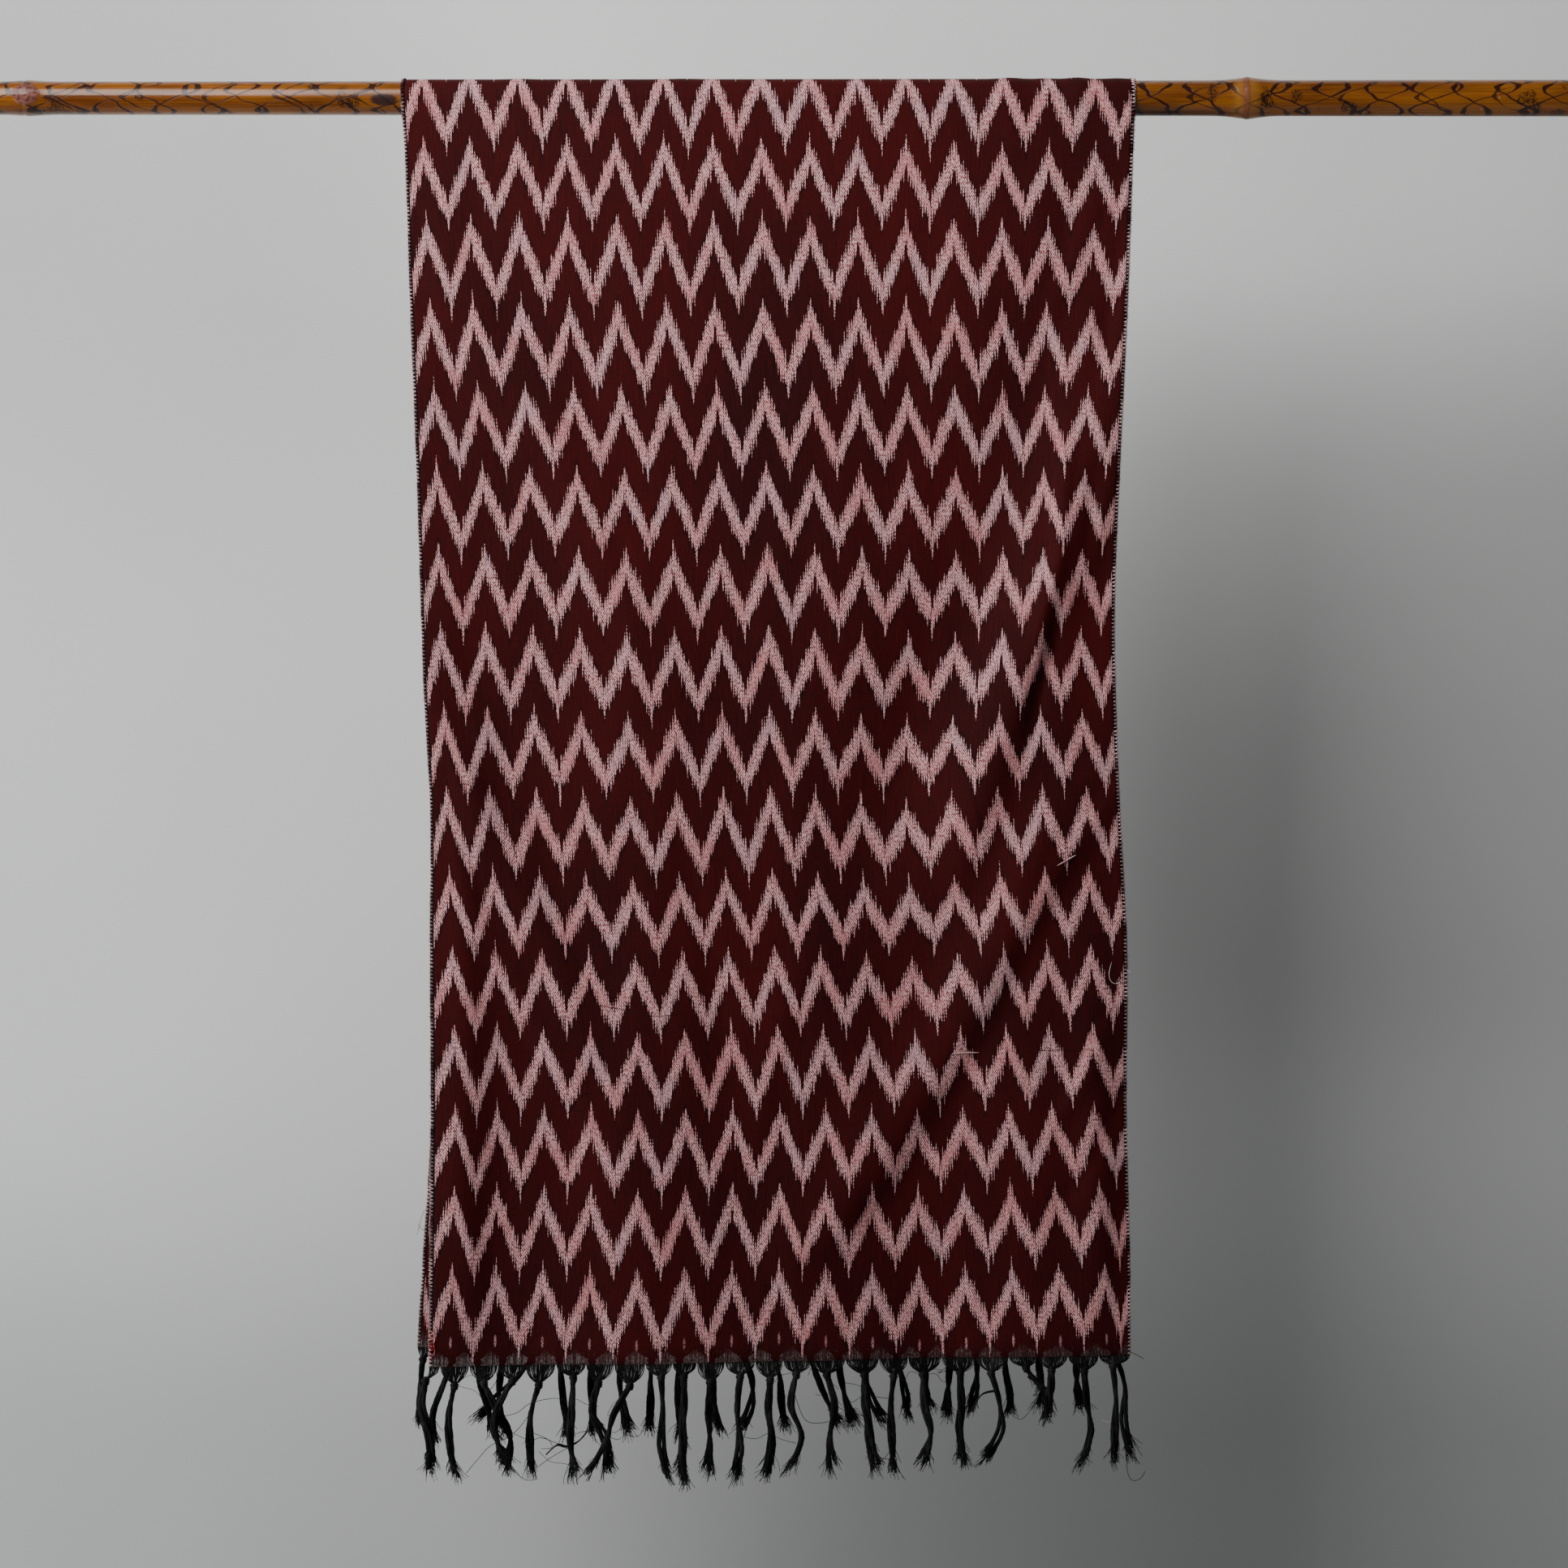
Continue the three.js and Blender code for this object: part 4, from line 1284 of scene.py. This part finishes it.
bamboo = {
    "sides": 64,
    "step": 12,                  # between rings on the plain stretches
    "nodeStep": 1.6,             # and at the nodes
    "edgeBevel": 0.8,
    "gold": (156, 94, 30),
    "amber": (96, 48, 14),
    "scorch": (38, 10, 6),
    "scar": (134, 84, 72),
    "ringScar": (112, 58, 34),
    "soot": (18, 14, 13),
    "blot": (24, 24, 34),
    "scuff": (188, 164, 140),
    "darkScar": (92, 44, 34),
    "besideRing": (188, 132, 62),
    "blotPlace": -0.288,          # metres across
    "scarPlace": -0.556,
    "ringPlace": 0.3585,
    "scarRound": 0.1,             # the branch scar's middle, radians round the cane
}


def rodRings():
    stations = []
    across = rod["left"]
    while across < rod["right"]:
        stations.append(across)
        close = min(abs(across - node["across"]) - node["reach"] for node in rod["nodes"])
        across += bamboo["nodeStep"] if close < 4 else min(bamboo["step"], max(close, bamboo["nodeStep"]))
    stations.append(rod["right"])
    return stations


def caneRadius(across):
    radius = (rod["diameter"] + rod["taper"] * across) / 2
    for node in rod["nodes"]:
        away = min(math.sqrt((across - node["across"]) ** 2 + 1.5) / node["reach"], 1)
        radius += node["swell"] * (1 - away) ** 2
        groove = math.exp(-(((across - node["across"] + 3.4) / 1.1) ** 2))
        radius -= 0.45 * groove
    return radius


def makeBamboo():
    stations = rodRings()
    first = caneRadius(stations[0])
    bpy.ops.mesh.primitive_circle_add(vertices=bamboo["sides"], radius=(first - bamboo["edgeBevel"]) * mm,
                                      fill_type="NGON", location=(stations[0] * mm, 0, 0),
                                      rotation=(0, math.pi / 2, 0))
    cane = bpy.context.object
    cane.name = "bambooCane"
    bpy.ops.object.transform_apply(location=True, rotation=True, scale=True)
    bpy.ops.object.mode_set(mode="EDIT")
    bpy.ops.mesh.select_all(action="SELECT")
    rings = [(stations[0] + bamboo["edgeBevel"], first)]
    rings += [(across, caneRadius(across)) for across in stations[1:-1]]
    end = caneRadius(stations[-1])
    rings += [(stations[-1] - bamboo["edgeBevel"], end), (stations[-1], end - bamboo["edgeBevel"])]
    here, radius = stations[0], first - bamboo["edgeBevel"]
    for across, wanted in rings:
        bpy.ops.mesh.extrude_region_move(TRANSFORM_OT_translate={"value": ((across - here) * mm, 0, 0)})
        grow = wanted / radius
        bpy.ops.transform.resize(value=(1, grow, grow), center_override=(across * mm, 0, 0))
        here, radius = across, wanted
    bpy.ops.mesh.select_all(action="SELECT")
    bpy.ops.mesh.normals_make_consistent(inside=False)
    bpy.ops.object.mode_set(mode="OBJECT")
    for vertex in cane.data.vertices:
        # a branch scar stands out at the left node, and the cane isn't quite round
        x, y, z = (value / mm for value in vertex.co)
        around = math.atan2(z, -y)
        fromScar, roundScar = x - bamboo["scarPlace"] / mm, around - bamboo["scarRound"]
        scar = math.exp(-((fromScar / 9) ** 2) - (roundScar / 0.5) ** 2)
        oval = 1 + 0.006 * math.sin(2 * around + 0.01 * x) + 0.06 * scar
        vertex.co.y *= oval
        vertex.co.z *= oval
    selectOnly(cane)
    bpy.ops.object.shade_smooth_by_angle(angle=math.radians(40))
    cane.data.materials.append(makeVarnishedBamboo())
    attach(cane, "root")
    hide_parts("bamboo_rod")
    print("stage: bamboo turned,", len(cane.data.polygons), "faces")
    return cane


def scorchedLoops(wires, x, around, repeat, swing, waves, start):
    # a line that swings to and fro along the cane as it goes round it
    swung = wires.math("SINE", wires.plus(wires.times(around, waves), start))
    wander = wires.noise((x, around), (22, 0.9), start, 2)
    place = wires.plus(x, wires.times(swung, swing))
    place = wires.plus(place, wires.times(wander, 0.03))
    share = wires.over(place, repeat)
    away = wires.size(wires.minus(share, wires.whole(share)))
    away = wires.times(away, repeat)
    turning = wires.power(wires.size(swung), 6)
    patchy = wires.noise((x, around), (48, 1), start + 3, 2)
    wide = wires.plus(wires.times(turning, 0.0013), wires.times(patchy, 0.0030))
    wide = wires.minus(wide, 0.0004)
    line = wires.step(wires.minus(wide, away), -0.0004, 0.0005)
    return line, away


def makeVarnishedBamboo():
    material, wires, shader = startMaterial("varnishedBamboo")
    place = wires.tree.nodes.new("ShaderNodeTexCoord")
    x, y, z = wires.split(place.outputs["Object"])
    around = wires.math("ARCTAN2", z, wires.times(y, -1))
    fibre = wires.noise((x, y, z), (18, 900, 900), 0, 4, 0.6)
    cloud = wires.noise((x, y, z), (12, 60, 60), 0, 3)
    tone = wires.plus(wires.times(fibre, 0.45), wires.times(cloud, 0.6))
    colour = wires.mix(wires.step(tone, 0.34, 0.72), srgb(*bamboo["amber"]), srgb(*bamboo["gold"]))

    # the flame-drawn figure: loops that cross each other, with a faint scorch beside them
    lineA, awayA = scorchedLoops(wires, x, around, 0.034, 0.0140, 2, 0.6)
    lineB, awayB = scorchedLoops(wires, x, around, 0.043, 0.0185, 2, 3.5)
    lineC, _ = scorchedLoops(wires, x, around, 0.057, 0.0110, 3, 1.9)
    loops = wires.most(wires.most(lineA, lineB), wires.times(lineC, 0.85))
    glow = wires.step(wires.least(awayA, awayB), 0.0042, 0.0006)
    colour = wires.mix(wires.times(glow, 0.28), colour, srgb(*bamboo["ringScar"]))
    colour = wires.mix(wires.times(loops, 0.93), colour, srgb(*bamboo["scorch"]))
    speck = wires.noise((x, y, z), [900] * 3, 0, 2)
    patch = wires.noise((x, y, z), [55] * 3, 0, 1)
    soot = wires.times(wires.step(patch, 0.64, 0.70), wires.step(speck, 0.42, 0.56))
    colour = wires.mix(wires.times(soot, 0.85), colour, srgb(*bamboo["soot"]))

    # a blue-black blot beside the cloth on the left, and pale scuffs on the right part
    blotX = wires.over(wires.minus(x, bamboo["blotPlace"]), 0.011)
    blotRound = wires.over(wires.plus(around, 0.25), 0.4)
    blotAway = wires.plus(wires.times(blotX, blotX), wires.times(blotRound, blotRound))
    blot = wires.step(wires.plus(blotAway, wires.times(speck, 0.8)), 1.5, 0.9)
    colour = wires.mix(wires.times(blot, 0.85), colour, srgb(*bamboo["blot"]))
    scuff = wires.noise((x, around), (240, 2.2), 8, 2)
    scuff = wires.times(wires.step(scuff, 0.71, 0.78), wires.step(x, 0.40, 0.44))
    colour = wires.mix(wires.times(scuff, 0.5), colour, srgb(*bamboo["scuff"]))

    # the two nodes: a rough branch scar on the left, a raised ring on the right
    rough = wires.noise((x, y, z), [420] * 3, 0, 3)
    scarX = wires.over(wires.minus(x, bamboo["scarPlace"]), 0.0095)
    scarRound = wires.over(wires.minus(around, bamboo["scarRound"]), 0.62)
    scarAway = wires.plus(wires.times(scarX, scarX), wires.times(scarRound, scarRound))
    scar = wires.step(wires.plus(scarAway, wires.times(rough, 0.9)), 1.75, 1.15)
    scarTone = wires.mix(wires.step(rough, 0.35, 0.65), srgb(*bamboo["darkScar"]), srgb(*bamboo["scar"]))
    colour = wires.mix(scar, colour, scarTone)
    ringAway = wires.size(wires.minus(x, bamboo["ringPlace"]))
    ring = wires.step(wires.plus(ringAway, wires.times(rough, 0.003)), 0.0052, 0.0030)
    paleBeside = wires.step(ringAway, 0.013, 0.004)
    colour = wires.mix(wires.times(paleBeside, 0.35), colour, srgb(*bamboo["besideRing"]))
    colour = wires.mix(wires.times(ring, 0.8), colour, srgb(*bamboo["ringScar"]))
    wires.feed(shader.inputs["Base Color"], colour)
    roughness = wires.plus(0.26, wires.times(wires.most(scar, ring), 0.35))
    roughness = wires.plus(roughness, wires.times(loops, 0.08))
    wires.feed(shader.inputs["Roughness"], roughness)
    shader.inputs["Specular IOR Level"].default_value = 0.3
    shader.inputs["Coat Weight"].default_value = 0.5
    shader.inputs["Coat Roughness"].default_value = 0.12
    relief = wires.plus(wires.times(fibre, 0.3), wires.times(loops, -0.5))
    relief = wires.plus(relief, wires.times(wires.times(rough, scar), 3.0))
    wires.feed(shader.inputs["Normal"], wires.bump(relief, 0.5, 0.0005))
    return material


cane = makeBamboo()
stole = makeStole()
blackCotton = makeThreadCotton("warpEndCotton", tassels["colour"], tassels["paler"], 0.22)
frontFringe = makeFringe("frontFringe", True, frontTassels, 3, 11, blackCotton)
backFringe = makeFringe("backFringe", False, backTassels, 2, 23, blackCotton)
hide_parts("front_fringe")
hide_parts("back_fringe")
stitchCotton = makeThreadCotton("stitchCotton", stitching["colour"], stitching["paler"], 0.34, "paleStretch")
selvedgeStitches = makeSelvedgeStitches(stitchCotton)
loosePieces = makeLooseThreads()
